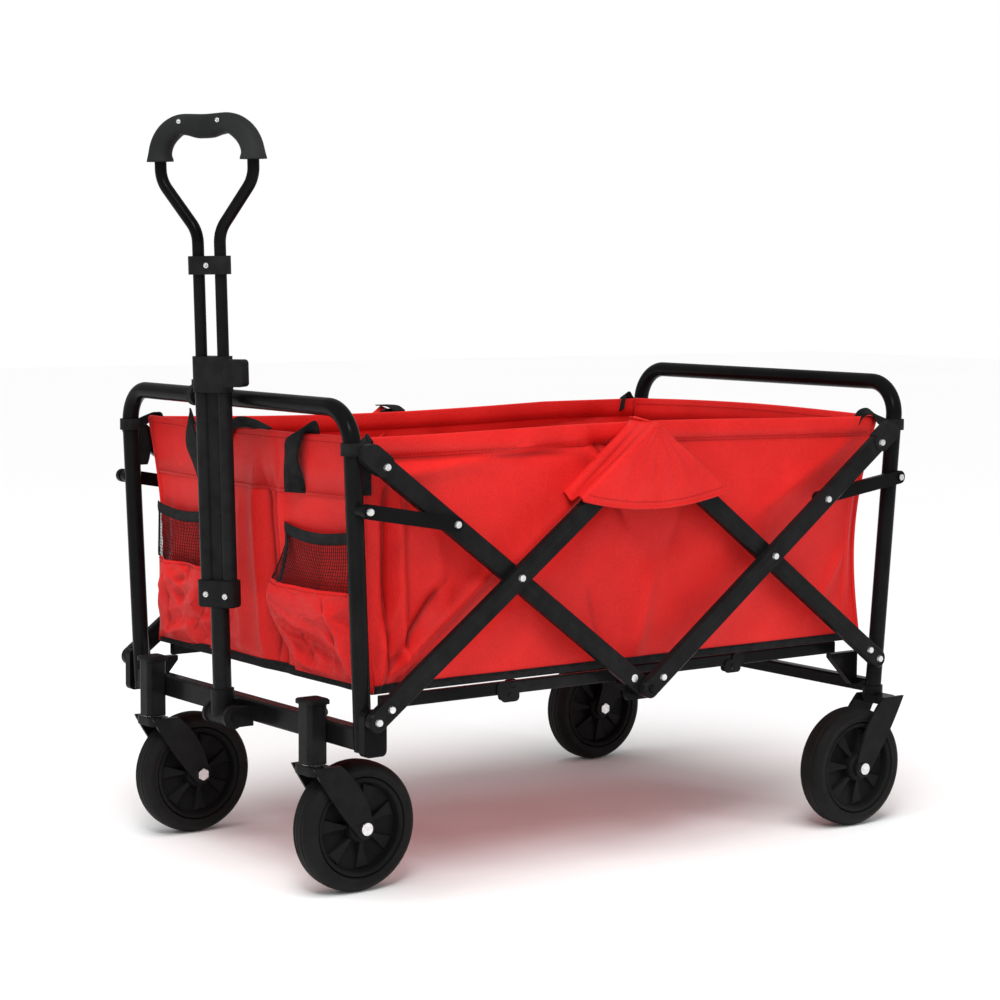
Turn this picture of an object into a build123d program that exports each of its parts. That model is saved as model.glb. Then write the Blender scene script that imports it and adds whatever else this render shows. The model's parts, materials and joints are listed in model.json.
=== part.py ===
from build123d import *
import os
from math import acos, atan2, cos, degrees, hypot, radians, sin

# Folding camp wagon. X runs along the wagon, from the pull handle (-X) to the tail (+X).
# Y runs across it, with the near side at -Y, and Z is up. The origin is on the ground
# under the middle of the bounding box. All lengths are in millimetres.

# ---------------------------------------------------------------- driving dimensions
front_x = -397.44  # front post line at the lower pivots, which centres the whole box
frame_length = 860.0  # front post line to rear post line
frame_width = 548.0  # between the centre lines of a frame's two posts
post_radius = 11.0
low_pivot_z = 230.0  # height of the scissor pivots at the bottom of the frame
scissor_rise = 316.0  # upper scissor ends above the lower ones, opened out
front_top_z = 601.0  # centre lines of the U-frames' top rails
rear_top_z = 611.0
front_lean = 16.0  # how far the front frame's top leans out
rear_lean = 30.0  # how far the rear frame's top leans out
frame_corner = 48.0  # bend radius of the U-frames
front_foot_z = 190.0
rear_foot_z = 178.0
fold_travel = 40.0  # degrees that a scissor bar turns from open to folded

front_pivot_inset = 0.0  # end pivots of the scissors, inboard of the post lines
rear_pivot_inset = 16.0
bar_width = 25.0
bar_thickness = 12.0
inner_bar_y = 291.5  # middle of the inner layer of bars
outer_bar_y = 304.0  # middle of the outer layer of bars
fixing_inset = 23.0  # visible fixing rivet, along a bar from its end pivot
pin_radius = 4.0
pin_clearance = 0.06
rivet_head_radius = 5.2
rivet_head_height = 3.0
cap_length = 14.0
cap_margin = 1.6

link_width = 18.0
link_thickness = 8.0
link_post_z = 481.0  # height of the short links' pivots on the posts
link_share = 0.275  # where a short link meets its bar, as a share of the bar from its top end

rail_height = 16.0
rail_thickness = 11.0
rail_bottom_z = 235.0
rail_pivot_z = 234.5  # at the underside, so that the two halves fold flat together
front_rail_y = 256.0
rear_rail_y = 243.5
rail_inset = 38.0  # rail end pivots, inboard of the scissors' end pivots

wheel_radius = 82.0
wheel_width = 42.0
rim_radius = 62.0
hub_boss_radius = 17.0
axle_radius = 5.0
spoke_count = 5
caster_y = 200.0
caster_trail = 60.0
caster_stem_x = front_x - 23.0
rear_wheel_y = 284.0
rear_axle_inset = 56.0
fork_gap = 2.0  # between a wheel's side and a fork leg
fork_thickness = 4.0

crossbar_depth = 20.0
crossbar_height = 28.0
crossbar_z = 205.0
rear_bar_side = 18.0
rear_bar_z = 188.0
sleeve_side = 28.0
sleeve_bottom_z = 166.0
sleeve_top_z = 240.0
stem_radius = 7.0
running_clearance = 0.08

handle_pivot_x = front_x - 37.0
handle_pivot_y = -10.0
handle_pivot_z = 199.0
handle_lean = 1.7  # degrees, towards the front
handle_twist = 28.0  # degrees that the handle stands turned about its lower tube
grip_top = 758.0  # heights above the handle pivot, along the handle
spacer_top = 581.0
spacer_height = 23.0
collar_top = 456.0
collar_height = 45.0
outer_tube_bottom = 173.0
block_height = 34.0
twin_spacing = 32.0
inner_tube_radius = 7.5
outer_tube_radius = 9.5
lower_tube_radius = 12.0
slide_clearance = 0.1
slide_travel = 98.0
loop_width = 135.0  # between the centre lines of the loop's two sides

fabric = 3.0  # thickness of the plain fabric solids
tub_bottom_z = 256.0
tub_top_z = 563.0
side_wall_y = 262.0  # outer face of the side walls
end_wall_inset = 25.0  # inner face of an end wall, inboard of the post line at the floor
floor_thickness = 12.0
pocket_outer_y = 254.0
pocket_top_y = 88.0  # inner edge at the pocket's mouth
pocket_bottom_y = 32.0  # inner edge at its foot, where it flares
pocket_top_z = 452.0
pocket_low_z = 262.0
pocket_depth = 22.0
flap_half_width = 120.0
flap_top_z = 571.0
flap_tip_z = 478.0
flap_low_z = 463.0
flap_y = 318.0  # outer face of the fan flaps

# ---------------------------------------------------------------- places worked out from them
rear_x = front_x + frame_length
end_pivots_x = (front_x + front_pivot_inset, rear_x - rear_pivot_inset)
middle_x = (end_pivots_x[0] + end_pivots_x[1]) / 2
half_run = middle_x - end_pivots_x[0]
high_pivot_z = low_pivot_z + scissor_rise
bar_length = hypot(half_run, scissor_rise)
bar_angle = degrees(atan2(scissor_rise, half_run))
near_post_y = -frame_width / 2
outer_face_y = outer_bar_y + bar_thickness / 2
inner_face_y = inner_bar_y - bar_thickness / 2
post_face_y = frame_width / 2 + post_radius
crossing_z = low_pivot_z + scissor_rise / 2
rear_axle_x = rear_x - rear_axle_inset
front_axle_x = caster_stem_x + caster_trail
folded_run = bar_length * cos(radians(bar_angle + fold_travel))

# Rail pieces: each side's rail is two bars with a knee between them.
front_end_x = end_pivots_x[0] + rail_inset
front_knee_x = (front_end_x + middle_x) / 2
rear_end_x = end_pivots_x[1] - rail_inset
rear_knee_x = (rear_end_x + middle_x) / 2
rail_turn = degrees(acos((folded_run - rail_inset) / (half_run - rail_inset)))


def post_x(z, line_x, lean, top_z):
    """Where a leaning post's centre line is at height z. The lean counts towards +X."""
    return line_x + lean * (z - low_pivot_z) / (top_z - low_pivot_z)


def front_post_x(z):
    return post_x(z, front_x, -front_lean, front_top_z)


def rear_post_x(z):
    return post_x(z, rear_x, rear_lean, rear_top_z)


def on_bar(end_x):
    """Where a short link meets its bar, in X and Z."""
    return end_x + link_share * (middle_x - end_x), high_pivot_z - link_share * scissor_rise


front_link = ((front_post_x(link_post_z), link_post_z), on_bar(end_pivots_x[0]))
rear_link = ((rear_post_x(link_post_z), link_post_z), on_bar(end_pivots_x[1]))


def link_turn(link, end_x):
    """How far a short link turns, in degrees, when the wagon folds."""
    angle = radians(bar_angle + fold_travel)
    overhang = abs(link[0][0] - end_x)
    folded_rise = low_pivot_z + (1 - link_share) * bar_length * sin(angle) - link[0][1]
    folded = atan2(folded_rise, link_share * folded_run + overhang)
    opened = atan2(link[1][1] - link[0][1], abs(link[1][0] - link[0][0]))
    return degrees(folded - opened)


front_link_turn = link_turn(front_link, end_pivots_x[0])
rear_link_turn = link_turn(rear_link, end_pivots_x[1])
print(f"link turns {front_link_turn:.3f} and {rear_link_turn:.3f}, rail turn {rail_turn:.3f} degrees")

os.makedirs("parts", exist_ok=True)


def save(builder, name):
    builder.part.label = name
    export_step(builder.part, f"parts/{name}.step")


def side_plane(x, y, z, angle=0.0):
    """A plane facing -Y at a point of the near side, its own X turned up by angle degrees."""
    turn = radians(angle)
    return Plane(origin=(x, y, z), x_dir=(cos(turn), 0, sin(turn)), z_dir=(0, -1, 0))


def pin(x, z, y_from, y_to, radius):
    """A round pin along Y on the near side, from y_from out to y_to, joined to the open part."""
    with BuildSketch(side_plane(x, y_from, z)) as section:
        Circle(radius)
    extrude(section.sketch, amount=y_from - y_to)


def rivet_head(x, z, y_face):
    """A domed rivet head on a face of the near side, joined to the open part."""
    with BuildSketch(side_plane(x, y_face, z)) as section:
        Circle(rivet_head_radius)
    extrude(section.sketch, amount=rivet_head_height, taper=20)


def both_sides():
    """Repeats the open part on the far side."""
    mirror(about=Plane.XZ)


# ---------------------------------------------------------------- U-frames
def build_u_frame(line_x, lean, top_z, foot_z):
    """A bent tube: two posts and a top rail in one leaning plane, whose X is +Y and Y runs up."""
    tilt = atan2(lean, top_z - low_pivot_z)
    plane = Plane(origin=(line_x, 0, low_pivot_z), x_dir=(0, 1, 0), z_dir=(cos(tilt), 0, -sin(tilt)))
    top = (top_z - low_pivot_z) / cos(tilt)
    foot = (foot_z - low_pivot_z) / cos(tilt)
    half = frame_width / 2
    with BuildPart() as frame:
        with BuildLine(plane) as path:
            FilletPolyline((-half, foot), (-half, top), (half, top), (half, foot), radius=frame_corner)
        with BuildSketch(Plane(origin=path.line @ 0, z_dir=path.line % 0)):
            Circle(post_radius)
        sweep()
    return frame


front_u_frame = build_u_frame(front_x, -front_lean, front_top_z, front_foot_z)
save(front_u_frame, "front_u_frame")
rear_u_frame = build_u_frame(rear_x, rear_lean, rear_top_z, rear_foot_z)
save(rear_u_frame, "rear_u_frame")

# ---------------------------------------------------------------- front crossbar weldment
crossbar_front_x = front_x - 9.0
bracket_gap = 46.0  # between the ears that hold the handle's pivot
ear_thickness = 5.0
ear_radius = 15.0
rail_seat_z = rail_bottom_z - 1.0
bar_corner = 3.0
handle_pin_radius = 5.0
stem_bore_depth = sleeve_top_z - sleeve_bottom_z - 6.0



def rail_seats(bar_x, low_z, end_x, rail_y):
    """Gussets under the floor rails' fixed ends, on both sides, joined to the open part."""
    lip = 5 if end_x > bar_x else -5
    for y in (-rail_y + rail_thickness / 2, rail_y + rail_thickness / 2):
        with BuildSketch(side_plane(0, y, 0)) as section:
            with BuildLine():
                Polyline(
                    (bar_x, low_z),
                    (bar_x, rail_seat_z),
                    (end_x, rail_seat_z),
                    (end_x, rail_seat_z - 6),
                    (bar_x + 2 * lip, low_z),
                    (bar_x, low_z),
                )
            make_face()
        extrude(section.sketch, amount=rail_thickness)


with BuildPart() as front_crossbar:
    with BuildSketch(Plane.XZ.offset(-frame_width / 2)):
        with Locations((crossbar_front_x + crossbar_depth / 2, crossbar_z)):
            RectangleRounded(crossbar_depth, crossbar_height, bar_corner)
    extrude(amount=frame_width)
    add(front_u_frame.part, mode=Mode.SUBTRACT)
    # the handle's pivot ears
    for ear_y in (-bracket_gap / 2, bracket_gap / 2 + ear_thickness):
        with BuildSketch(side_plane(handle_pivot_x, handle_pivot_y + ear_y, handle_pivot_z)):
            Circle(ear_radius)
            with Locations(((crossbar_front_x - handle_pivot_x) / 2, 0)):
                Rectangle(crossbar_front_x - handle_pivot_x, 2 * ear_radius - 4)
        extrude(amount=ear_thickness)
    # caster sleeves
    for sleeve_y in (-caster_y, caster_y):
        with BuildSketch(Plane.XY.offset(sleeve_bottom_z)):
            with Locations((caster_stem_x, sleeve_y)):
                RectangleRounded(sleeve_side, sleeve_side, 6)
        extrude(amount=sleeve_top_z - sleeve_bottom_z)
        with BuildSketch(Plane.XY.offset(sleeve_bottom_z)):
            with Locations((caster_stem_x, sleeve_y)):
                Circle(stem_radius + running_clearance)
        extrude(amount=stem_bore_depth, mode=Mode.SUBTRACT)
    rail_seats(crossbar_front_x + crossbar_depth - 2, crossbar_z - 6, front_end_x + 6, front_rail_y)
    with BuildSketch(side_plane(handle_pivot_x, handle_pivot_y + bracket_gap, handle_pivot_z)):
        Circle(handle_pin_radius + pin_clearance)
    extrude(amount=2 * bracket_gap, mode=Mode.SUBTRACT)
save(front_crossbar, "front_crossbar")

# ---------------------------------------------------------------- fittings on the front posts
fitting_plate = 12.6  # from the post's outer face to just short of the outer layer
stud_radius = 8.0
head_gap = 0.3


def post_fitting(x, z, y_to):
    """A boss on a post's outer face with the pin that a bar or link turns on, head included."""
    pin(x, z, -post_face_y, -post_face_y - fitting_plate, stud_radius)
    pin(x, z, -post_face_y - fitting_plate, y_to, pin_radius)
    rivet_head(x, z, y_to)


with BuildPart() as front_pivots:
    with BuildSketch(side_plane(front_x, -post_face_y, front_foot_z)):
        with Locations((4, (low_pivot_z - front_foot_z) / 2 + 4)):
            RectangleRounded(32, low_pivot_z - front_foot_z + 16, 7)
    extrude(amount=fitting_plate)
    pin(end_pivots_x[0], low_pivot_z, -post_face_y, -outer_face_y - head_gap, pin_radius)
    rivet_head(end_pivots_x[0], low_pivot_z, -outer_face_y - head_gap)
    post_fitting(*front_link[0], -outer_bar_y - link_thickness / 2 + 1)
    both_sides()
save(front_pivots, "front_pivots")

with BuildPart() as rear_pivots:
    bar_head_y = -inner_bar_y - bar_thickness / 2 - head_gap
    pin(end_pivots_x[1], low_pivot_z, -post_face_y + 6, bar_head_y, pin_radius)
    rivet_head(end_pivots_x[1], low_pivot_z, bar_head_y)
    pin(*rear_link[0], -post_face_y + 6, -inner_bar_y - link_thickness / 2 - head_gap, pin_radius)
    rivet_head(*rear_link[0], -inner_bar_y - link_thickness / 2 - head_gap)
    add(rear_u_frame.part, mode=Mode.SUBTRACT)
    both_sides()
save(rear_pivots, "rear_pivots")

# ---------------------------------------------------------------- rear crossbar, forks and axles
with BuildPart() as rear_crossbar:
    with BuildSketch(Plane.XZ.offset(-frame_width / 2)):
        with Locations((rear_post_x(rear_bar_z), rear_bar_z)):
            RectangleRounded(rear_bar_side, rear_bar_side, bar_corner)
    extrude(amount=frame_width)
    add(rear_u_frame.part, mode=Mode.SUBTRACT)
    rail_seats(rear_post_x(rear_bar_z) - rear_bar_side / 2 + 2, rear_bar_z, rear_end_x - 6, rear_rail_y)
save(rear_crossbar, "rear_crossbar")

fork_inner = wheel_width / 2 + fork_gap
fork_outer = fork_inner + fork_thickness
crown_radius = 15.0
leg_eye_radius = 13.0
leg_reach = 24.0


def fork_leg(crown_x, crown_z, axle_x, wheel_y, back, front):
    """Both legs of a fork: plates that narrow from the crown to round eyes at the axle."""
    away = 1 if axle_x > crown_x else -1
    top_back = (crown_x - away * back, crown_z)
    top_front = (crown_x + away * front, crown_z)
    eye_front = (axle_x + away * leg_eye_radius * 0.8, wheel_radius + leg_eye_radius * 0.6)
    eye_back = (axle_x - away * leg_eye_radius * 0.8, wheel_radius - leg_eye_radius * 0.6)
    bulge = ((top_front[0] + eye_front[0]) / 2 + away * 6, (crown_z + eye_front[1]) / 2 + 5)
    hollow = ((top_back[0] + eye_back[0]) / 2 - away * 2, (crown_z + eye_back[1]) / 2 - 3)
    for face_y in (wheel_y - fork_inner, wheel_y + fork_outer):
        with BuildSketch(side_plane(0, face_y, 0)) as section:
            with BuildLine():
                Line(top_back, top_front)
                ThreePointArc(top_front, bulge, eye_front)
                Line(eye_front, eye_back)
                ThreePointArc(eye_back, hollow, top_back)
            make_face()
            with Locations((axle_x, wheel_radius)):
                Circle(leg_eye_radius)
        extrude(section.sketch, amount=fork_thickness)
    with BuildSketch(side_plane(axle_x, wheel_y + fork_outer + 1, wheel_radius)) as hole:
        Circle(axle_radius + pin_clearance)
    extrude(hole.sketch, amount=2 * fork_outer + 2, mode=Mode.SUBTRACT)


def axle_bolt(axle_x, wheel_y, head_y):
    """An axle bolt through a wheel and its fork, with a round head at one end and a nut at the other."""
    with BuildSketch(side_plane(axle_x, wheel_y + fork_outer, wheel_radius)) as shank:
        Circle(axle_radius)
    extrude(shank.sketch, amount=2 * fork_outer)
    for sign in (-1, 1):
        start = wheel_y + sign * fork_outer
        with BuildSketch(Plane(origin=(axle_x, start, wheel_radius), z_dir=(0, sign, 0))) as end:
            if sign == head_y:
                Circle(8)
            else:
                RegularPolygon(8.5, 6)
        extrude(end.sketch, amount=4)


crown_low_z = 153.0
crown_height = 11.0
rear_crown_low_z = 166.5
for side, sign in (("near", -1), ("far", 1)):
    wheel_y = sign * caster_y
    with BuildPart() as caster_fork:
        with BuildSketch(Plane.XY.offset(crown_low_z)):
            with Locations((caster_stem_x, wheel_y)):
                SlotOverall(2 * fork_outer, 2 * crown_radius - 1, rotation=90)
        extrude(amount=crown_height)
        with BuildSketch(Plane.XY.offset(crown_low_z + crown_height)):
            with Locations((caster_stem_x, wheel_y)):
                Circle(stem_radius)
        extrude(amount=stem_bore_depth - 3)
        crown_top_z = crown_low_z + crown_height
        fork_leg(caster_stem_x, crown_top_z, front_axle_x, wheel_y, crown_radius - 0.5, leg_reach)
    save(caster_fork, f"caster_fork_{side}")
    with BuildPart() as front_axle:
        axle_bolt(front_axle_x, wheel_y, sign)
    save(front_axle, f"front_axle_{side}")

rear_post_low_x = rear_post_x(rear_foot_z)
with BuildPart() as rear_forks:
    with BuildSketch(Plane.XY.offset(rear_crown_low_z)):
        with Locations((rear_post_low_x, -rear_wheel_y)):
            SlotOverall(2 * fork_outer, 2 * crown_radius - 1, rotation=90)
    extrude(amount=rear_foot_z - 1 - rear_crown_low_z)
    with BuildSketch(Plane.XY.offset(rear_foot_z - 1)):
        with Locations((rear_post_low_x, near_post_y)):
            Circle(post_radius + 3)
    extrude(amount=12)
    add(rear_u_frame.part, mode=Mode.SUBTRACT)
    fork_leg(rear_post_low_x, rear_foot_z - 1, rear_axle_x, -rear_wheel_y, leg_reach, crown_radius - 0.5)
    add(rear_crossbar.part, mode=Mode.SUBTRACT)
    both_sides()
save(rear_forks, "rear_forks")
with BuildPart() as rear_axles:
    axle_bolt(rear_axle_x, -rear_wheel_y, -1)
    both_sides()
save(rear_axles, "rear_axles")

# ---------------------------------------------------------------- wheels
rim_gap = 0.05
tread_round = 9.0
hub_half = wheel_width / 2 - 3.0
web_half = 4.0
pocket_inner = 24.0
pocket_outer = 54.0


def build_tyre(x, y):
    with BuildPart() as tyre:
        with BuildSketch(side_plane(x, y + wheel_width / 2, wheel_radius)):
            Circle(wheel_radius)
            Circle(rim_radius + rim_gap, mode=Mode.SUBTRACT)
        extrude(amount=wheel_width)
        fillet(tyre.edges().filter_by(GeomType.CIRCLE).group_by(SortBy.RADIUS)[-1], tread_round)
    return tyre


def build_wheel_hub(x, y):
    """A wheel's hub: a rim, a web and a boss, with deep pockets between the spokes on both faces."""
    half_angle = 180 / spoke_count - 7
    with BuildPart() as hub:
        with BuildSketch(side_plane(x, y + hub_half, wheel_radius)):
            Circle(rim_radius)
        extrude(amount=2 * hub_half)
        with BuildSketch(side_plane(x, y + wheel_width / 2, wheel_radius)):
            Circle(hub_boss_radius)
        extrude(amount=wheel_width)
        for start, amount in ((y + wheel_width / 2, hub_half - web_half + 3), (y - web_half, hub_half)):
            with BuildSketch(side_plane(x, start, wheel_radius)):
                with PolarLocations(0, spoke_count, 90):
                    Trapezoid(34, 30, 62, rotation=180, align=(Align.CENTER, Align.MAX))
                Circle(pocket_outer, mode=Mode.INTERSECT)
                Circle(pocket_inner, mode=Mode.SUBTRACT)
            extrude(amount=amount, mode=Mode.SUBTRACT)
        with BuildSketch(side_plane(x, y + wheel_width / 2, wheel_radius)):
            Circle(axle_radius + pin_clearance)
        extrude(amount=wheel_width, mode=Mode.SUBTRACT)
    return hub


for axle, axle_x, across in (("front", front_axle_x, caster_y), ("rear", rear_axle_x, rear_wheel_y)):
    for side, sign in (("near", -1), ("far", 1)):
        save(build_tyre(axle_x, sign * across), f"tyre_{axle}_{side}")
        save(build_wheel_hub(axle_x, sign * across), f"wheel_hub_{axle}_{side}")

# ---------------------------------------------------------------- scissor bars
# Each bar is made on a plane of its own: the plane's X runs along the bar from its first pivot.
layer_gap = inner_bar_y + bar_thickness / 2
bars = {
    "bar_b": (end_pivots_x[0], low_pivot_z, bar_angle, outer_face_y),
    "bar_a": (end_pivots_x[0], high_pivot_z, -bar_angle, layer_gap),
    "bar_c": (end_pivots_x[1], high_pivot_z, bar_angle + 180, outer_face_y),
    "bar_d": (end_pivots_x[1], low_pivot_z, 180 - bar_angle, layer_gap),
}
bar_edge = 3.0
capped_end = 12.0  # how far short of its pivot a capped bar stops


def bar_plane(name, y):
    x, z, angle, _ = bars[name]
    return side_plane(x, y, z, angle)


def build_bar(name, capped, open_end=0.0):
    """A flat oval bar with holes at its end pivots, its middle and its short link."""
    face_y = bars[name][3]
    with BuildPart() as bar:
        with BuildSketch(bar_plane(name, -face_y + bar_thickness)):
            with Locations((bar_length / 2, 0)):
                SlotCenterToCenter(bar_length, bar_width)
            if capped:
                with Locations((capped_end, 0)):
                    square_end = (Align.MAX, Align.CENTER)
                    Rectangle(4 * bar_width, 2 * bar_width, align=square_end, mode=Mode.SUBTRACT)
        extrude(amount=bar_thickness)
        chamfer(bar.faces().sort_by(Axis.Y)[0].outer_wire().edges(), 1.5)
        chamfer(bar.faces().sort_by(Axis.Y)[-1].outer_wire().edges(), 1.5)
        holes = [bar_length / 2, bar_length]
        if not capped:
            holes.append(0)
        with BuildSketch(bar_plane(name, 0)):
            for along in holes:
                with Locations((along, 0)):
                    Circle(pin_radius + pin_clearance + (open_end if along == bar_length else 0))
        extrude(amount=2 * outer_face_y, mode=Mode.SUBTRACT)
    return bar


open_pivot_play = 0.5
bar_ends = (("bar_b", False, 0), ("bar_a", True, 0), ("bar_c", True, 0), ("bar_d", False, open_pivot_play))
for name, capped, play in bar_ends:
    near_bar = build_bar(name, capped, play).part
    for side in ("near", "far"):
        with BuildPart() as placed_bar:
            add(near_bar if side == "near" else near_bar.mirror(Plane.XZ))
        save(placed_bar, f"{name}_{side}")


def along_bar(name, distance):
    """The X and Z of a point on a bar's middle line, that far from its first pivot."""
    x, z, angle, _ = bars[name]
    return x + distance * cos(radians(angle)), z + distance * sin(radians(angle))


def build_cap(name):
    """The moulded cap over a bar's free end."""
    face_y = bars[name][3] + cap_margin
    with BuildPart() as cap:
        with BuildSketch(bar_plane(name, -face_y + bar_thickness + cap_margin - 0.2)):
            with Locations((cap_length / 2 + 3, 0)):
                SlotCenterToCenter(cap_length + 6, bar_width + 2 * cap_margin)
        extrude(amount=bar_thickness + cap_margin - 0.2)
        with BuildSketch(bar_plane(name, 0)):
            with Locations((capped_end - 0.05, 0)):
                Rectangle(3 * bar_width, bar_width + 0.1, align=(Align.MIN, Align.CENTER))
        extrude(amount=bars[name][3] + 0.05, mode=Mode.SUBTRACT)
        both_sides()
    return cap


for name in ("bar_a", "bar_c"):
    save(build_cap(name), f"{name}_caps")

# ---------------------------------------------------------------- rivets and hubs
flush_head = 0.4
with BuildPart() as bar_b_rivets:
    x, z = along_bar("bar_b", bar_length / 2)
    pin(x, z, -inner_face_y + head_gap, -outer_face_y, pin_radius)
    rivet_head(x, z, -outer_face_y)
    with BuildSketch(Plane(origin=(x, -inner_face_y + head_gap, z), z_dir=(0, 1, 0))):
        Circle(rivet_head_radius)
    extrude(amount=rivet_head_height, taper=20)
    rivet_head(*along_bar("bar_b", fixing_inset), -outer_face_y)
    both_sides()
save(bar_b_rivets, "bar_b_rivets")

with BuildPart() as bar_a_rivets:
    rivet_head(*along_bar("bar_a", fixing_inset), -layer_gap - cap_margin)
    far_fixing = along_bar("bar_a", bar_length - fixing_inset)
    pin(*far_fixing, -layer_gap, -layer_gap - flush_head, rivet_head_radius)
    both_sides()
save(bar_a_rivets, "bar_a_rivets")

with BuildPart() as bar_c_rivets:
    x, z = along_bar("bar_c", bar_length / 2)
    pin(x, z, -inner_face_y + head_gap, -outer_face_y, pin_radius)
    rivet_head(x, z, -outer_face_y)
    with BuildSketch(Plane(origin=(x, -inner_face_y + head_gap, z), z_dir=(0, 1, 0))):
        Circle(rivet_head_radius)
    extrude(amount=rivet_head_height, taper=20)
    rivet_head(*along_bar("bar_c", fixing_inset), -outer_face_y - cap_margin)
    for along in (link_share * bar_length, bar_length - fixing_inset):
        rivet_head(*along_bar("bar_c", along), -outer_face_y)
    both_sides()
save(bar_c_rivets, "bar_c_rivets")

with BuildPart() as bar_d_rivets:
    rivet_head(*along_bar("bar_d", fixing_inset), -layer_gap)
    both_sides()
save(bar_d_rivets, "bar_d_rivets")

hub_plate = 4.0
hub_plate_y = inner_face_y - 1.0
shelf_width = 44.0
with BuildPart() as lower_hubs:
    with BuildSketch(side_plane(middle_x, -hub_plate_y + hub_plate, low_pivot_z)):
        RectangleRounded(48, 34, 8)
    extrude(amount=hub_plate)
    with BuildSketch(Plane.XY.offset(rail_seat_z - 9)):
        with Locations((middle_x, -hub_plate_y + hub_plate - 0.5)):
            shelf_depth = hub_plate_y - hub_plate + 0.5 - rear_rail_y + 7
            Rectangle(shelf_width, shelf_depth, align=(Align.CENTER, Align.MIN))
    extrude(amount=9)
    pin(middle_x, low_pivot_z, -hub_plate_y, -outer_face_y - head_gap, pin_radius)
    rivet_head(middle_x, low_pivot_z, -outer_face_y - head_gap)
    both_sides()
save(lower_hubs, "lower_hubs")

with BuildPart() as upper_hubs:
    with BuildSketch(side_plane(middle_x, -hub_plate_y + hub_plate, high_pivot_z)):
        RectangleRounded(40, 30, 8)
    extrude(amount=hub_plate)
    pin(middle_x, high_pivot_z, -hub_plate_y, -outer_face_y - head_gap, pin_radius)
    rivet_head(middle_x, high_pivot_z, -outer_face_y - head_gap)
    both_sides()
save(upper_hubs, "upper_hubs")

# ---------------------------------------------------------------- short links


def build_links(on_post, on_bar, face_y, headed):
    """Both sides' short links, each with a hole at its post and a rivet head at its bar."""
    length = hypot(on_bar[0] - on_post[0], on_bar[1] - on_post[1])
    angle = degrees(atan2(on_bar[1] - on_post[1], on_bar[0] - on_post[0]))
    with BuildPart() as links:
        with BuildSketch(side_plane(on_post[0], -face_y + link_thickness, on_post[1], angle)):
            with Locations((length / 2, 0)):
                SlotCenterToCenter(length, link_width)
            Circle(pin_radius + pin_clearance, mode=Mode.SUBTRACT)
        extrude(amount=link_thickness)
        if headed:
            rivet_head(*on_bar, -face_y)
        both_sides()
    return links


save(build_links(*front_link, outer_bar_y + link_thickness / 2 - 1.3, True), "front_links")
save(build_links(*rear_link, inner_bar_y + link_thickness / 2, False), "rear_links")

# ---------------------------------------------------------------- folding floor rails
knee_leaf = 2.0
knee_pin_radius = 3.0
knee_leaf_length = 28.0


def build_rail(end_x, knee_x, rail_y, carries_pin):
    """One bar of a floor rail, both sides of the wagon. Its knee leaf reaches past the knee."""
    outward = 1 if carries_pin else -1
    leaf_y = rail_y + outward * (rail_thickness + knee_leaf) / 2
    inward_x = 1 if end_x < knee_x else -1
    with BuildPart() as rail:
        with BuildSketch(side_plane(knee_x - inward_x * 0.3, -rail_y + rail_thickness / 2, rail_bottom_z)):
            with Locations(((end_x - knee_x + inward_x * 0.3) / 2, rail_height / 2)):
                Rectangle(abs(end_x - knee_x) - 0.3, rail_height)
        extrude(amount=rail_thickness)
        fillet(rail.edges().filter_by(Axis.X), 2)
        with BuildSketch(side_plane(knee_x, -leaf_y + knee_leaf / 2, rail_pivot_z)):
            RectangleRounded(knee_leaf_length if carries_pin else 18, 18, 6)
            with Locations((-inward_x * 10, 8)):
                RectangleRounded(22, 18, 6)
        extrude(amount=knee_leaf)
        with BuildSketch(side_plane(knee_x, 0, rail_pivot_z)):
            Circle(knee_pin_radius + pin_clearance + 0.3)
        extrude(amount=2 * outer_face_y, mode=Mode.SUBTRACT)
        if carries_pin:
            with BuildSketch(side_plane(knee_x, -rail_y + rail_thickness / 2 + 1, rail_pivot_z)):
                Circle(knee_pin_radius)
            extrude(amount=rail_thickness + knee_leaf + 2)
        both_sides()
    return rail


save(build_rail(front_end_x, front_knee_x, front_rail_y, True), "front_rail_fore")
save(build_rail(middle_x, front_knee_x, front_rail_y, False), "front_rail_aft")
save(build_rail(rear_end_x, rear_knee_x, rear_rail_y, True), "rear_rail_aft")
save(build_rail(middle_x, rear_knee_x, rear_rail_y, False), "rear_rail_fore")

# ---------------------------------------------------------------- pull handle
lean = radians(handle_lean)
handle_up = Vector(-sin(lean), 0, cos(lean))
handle_origin = Vector(handle_pivot_x, handle_pivot_y, handle_pivot_z)
handle_across = Vector(0, -1, 0).rotate(Axis((0, 0, 0), handle_up), handle_twist)
handle_front = handle_up.cross(handle_across)  # the loop's own depth direction


def across_plane(height):
    """A plane square to the handle, that far above its pivot. Its X runs across the loop."""
    return Plane(origin=handle_origin + handle_up * height, x_dir=handle_across, z_dir=handle_up)


def loop_plane(depth=0.0):
    """The loop's own plane: its X runs across the handle and its Y up the handle."""
    return Plane(
        origin=handle_origin + handle_front * -depth,
        x_dir=handle_across,
        z_dir=handle_across.cross(handle_up),
    )


yoke_radius = 12.5
yoke_width = bracket_gap - 1.0
socket_radius = 15.0
socket_top = 34.0
tube_foot = 12.0
block_width = 55.0
block_depth = 26.0
collar_width = 53.0
collar_depth = 24.0
block_bottom = outer_tube_bottom - block_height
tube_head = outer_tube_bottom - 10.0

with BuildPart() as handle_lower_tube:
    with BuildSketch(across_plane(tube_foot)):
        Circle(lower_tube_radius)
    extrude(amount=tube_head - tube_foot)
save(handle_lower_tube, "handle_lower_tube")

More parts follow.
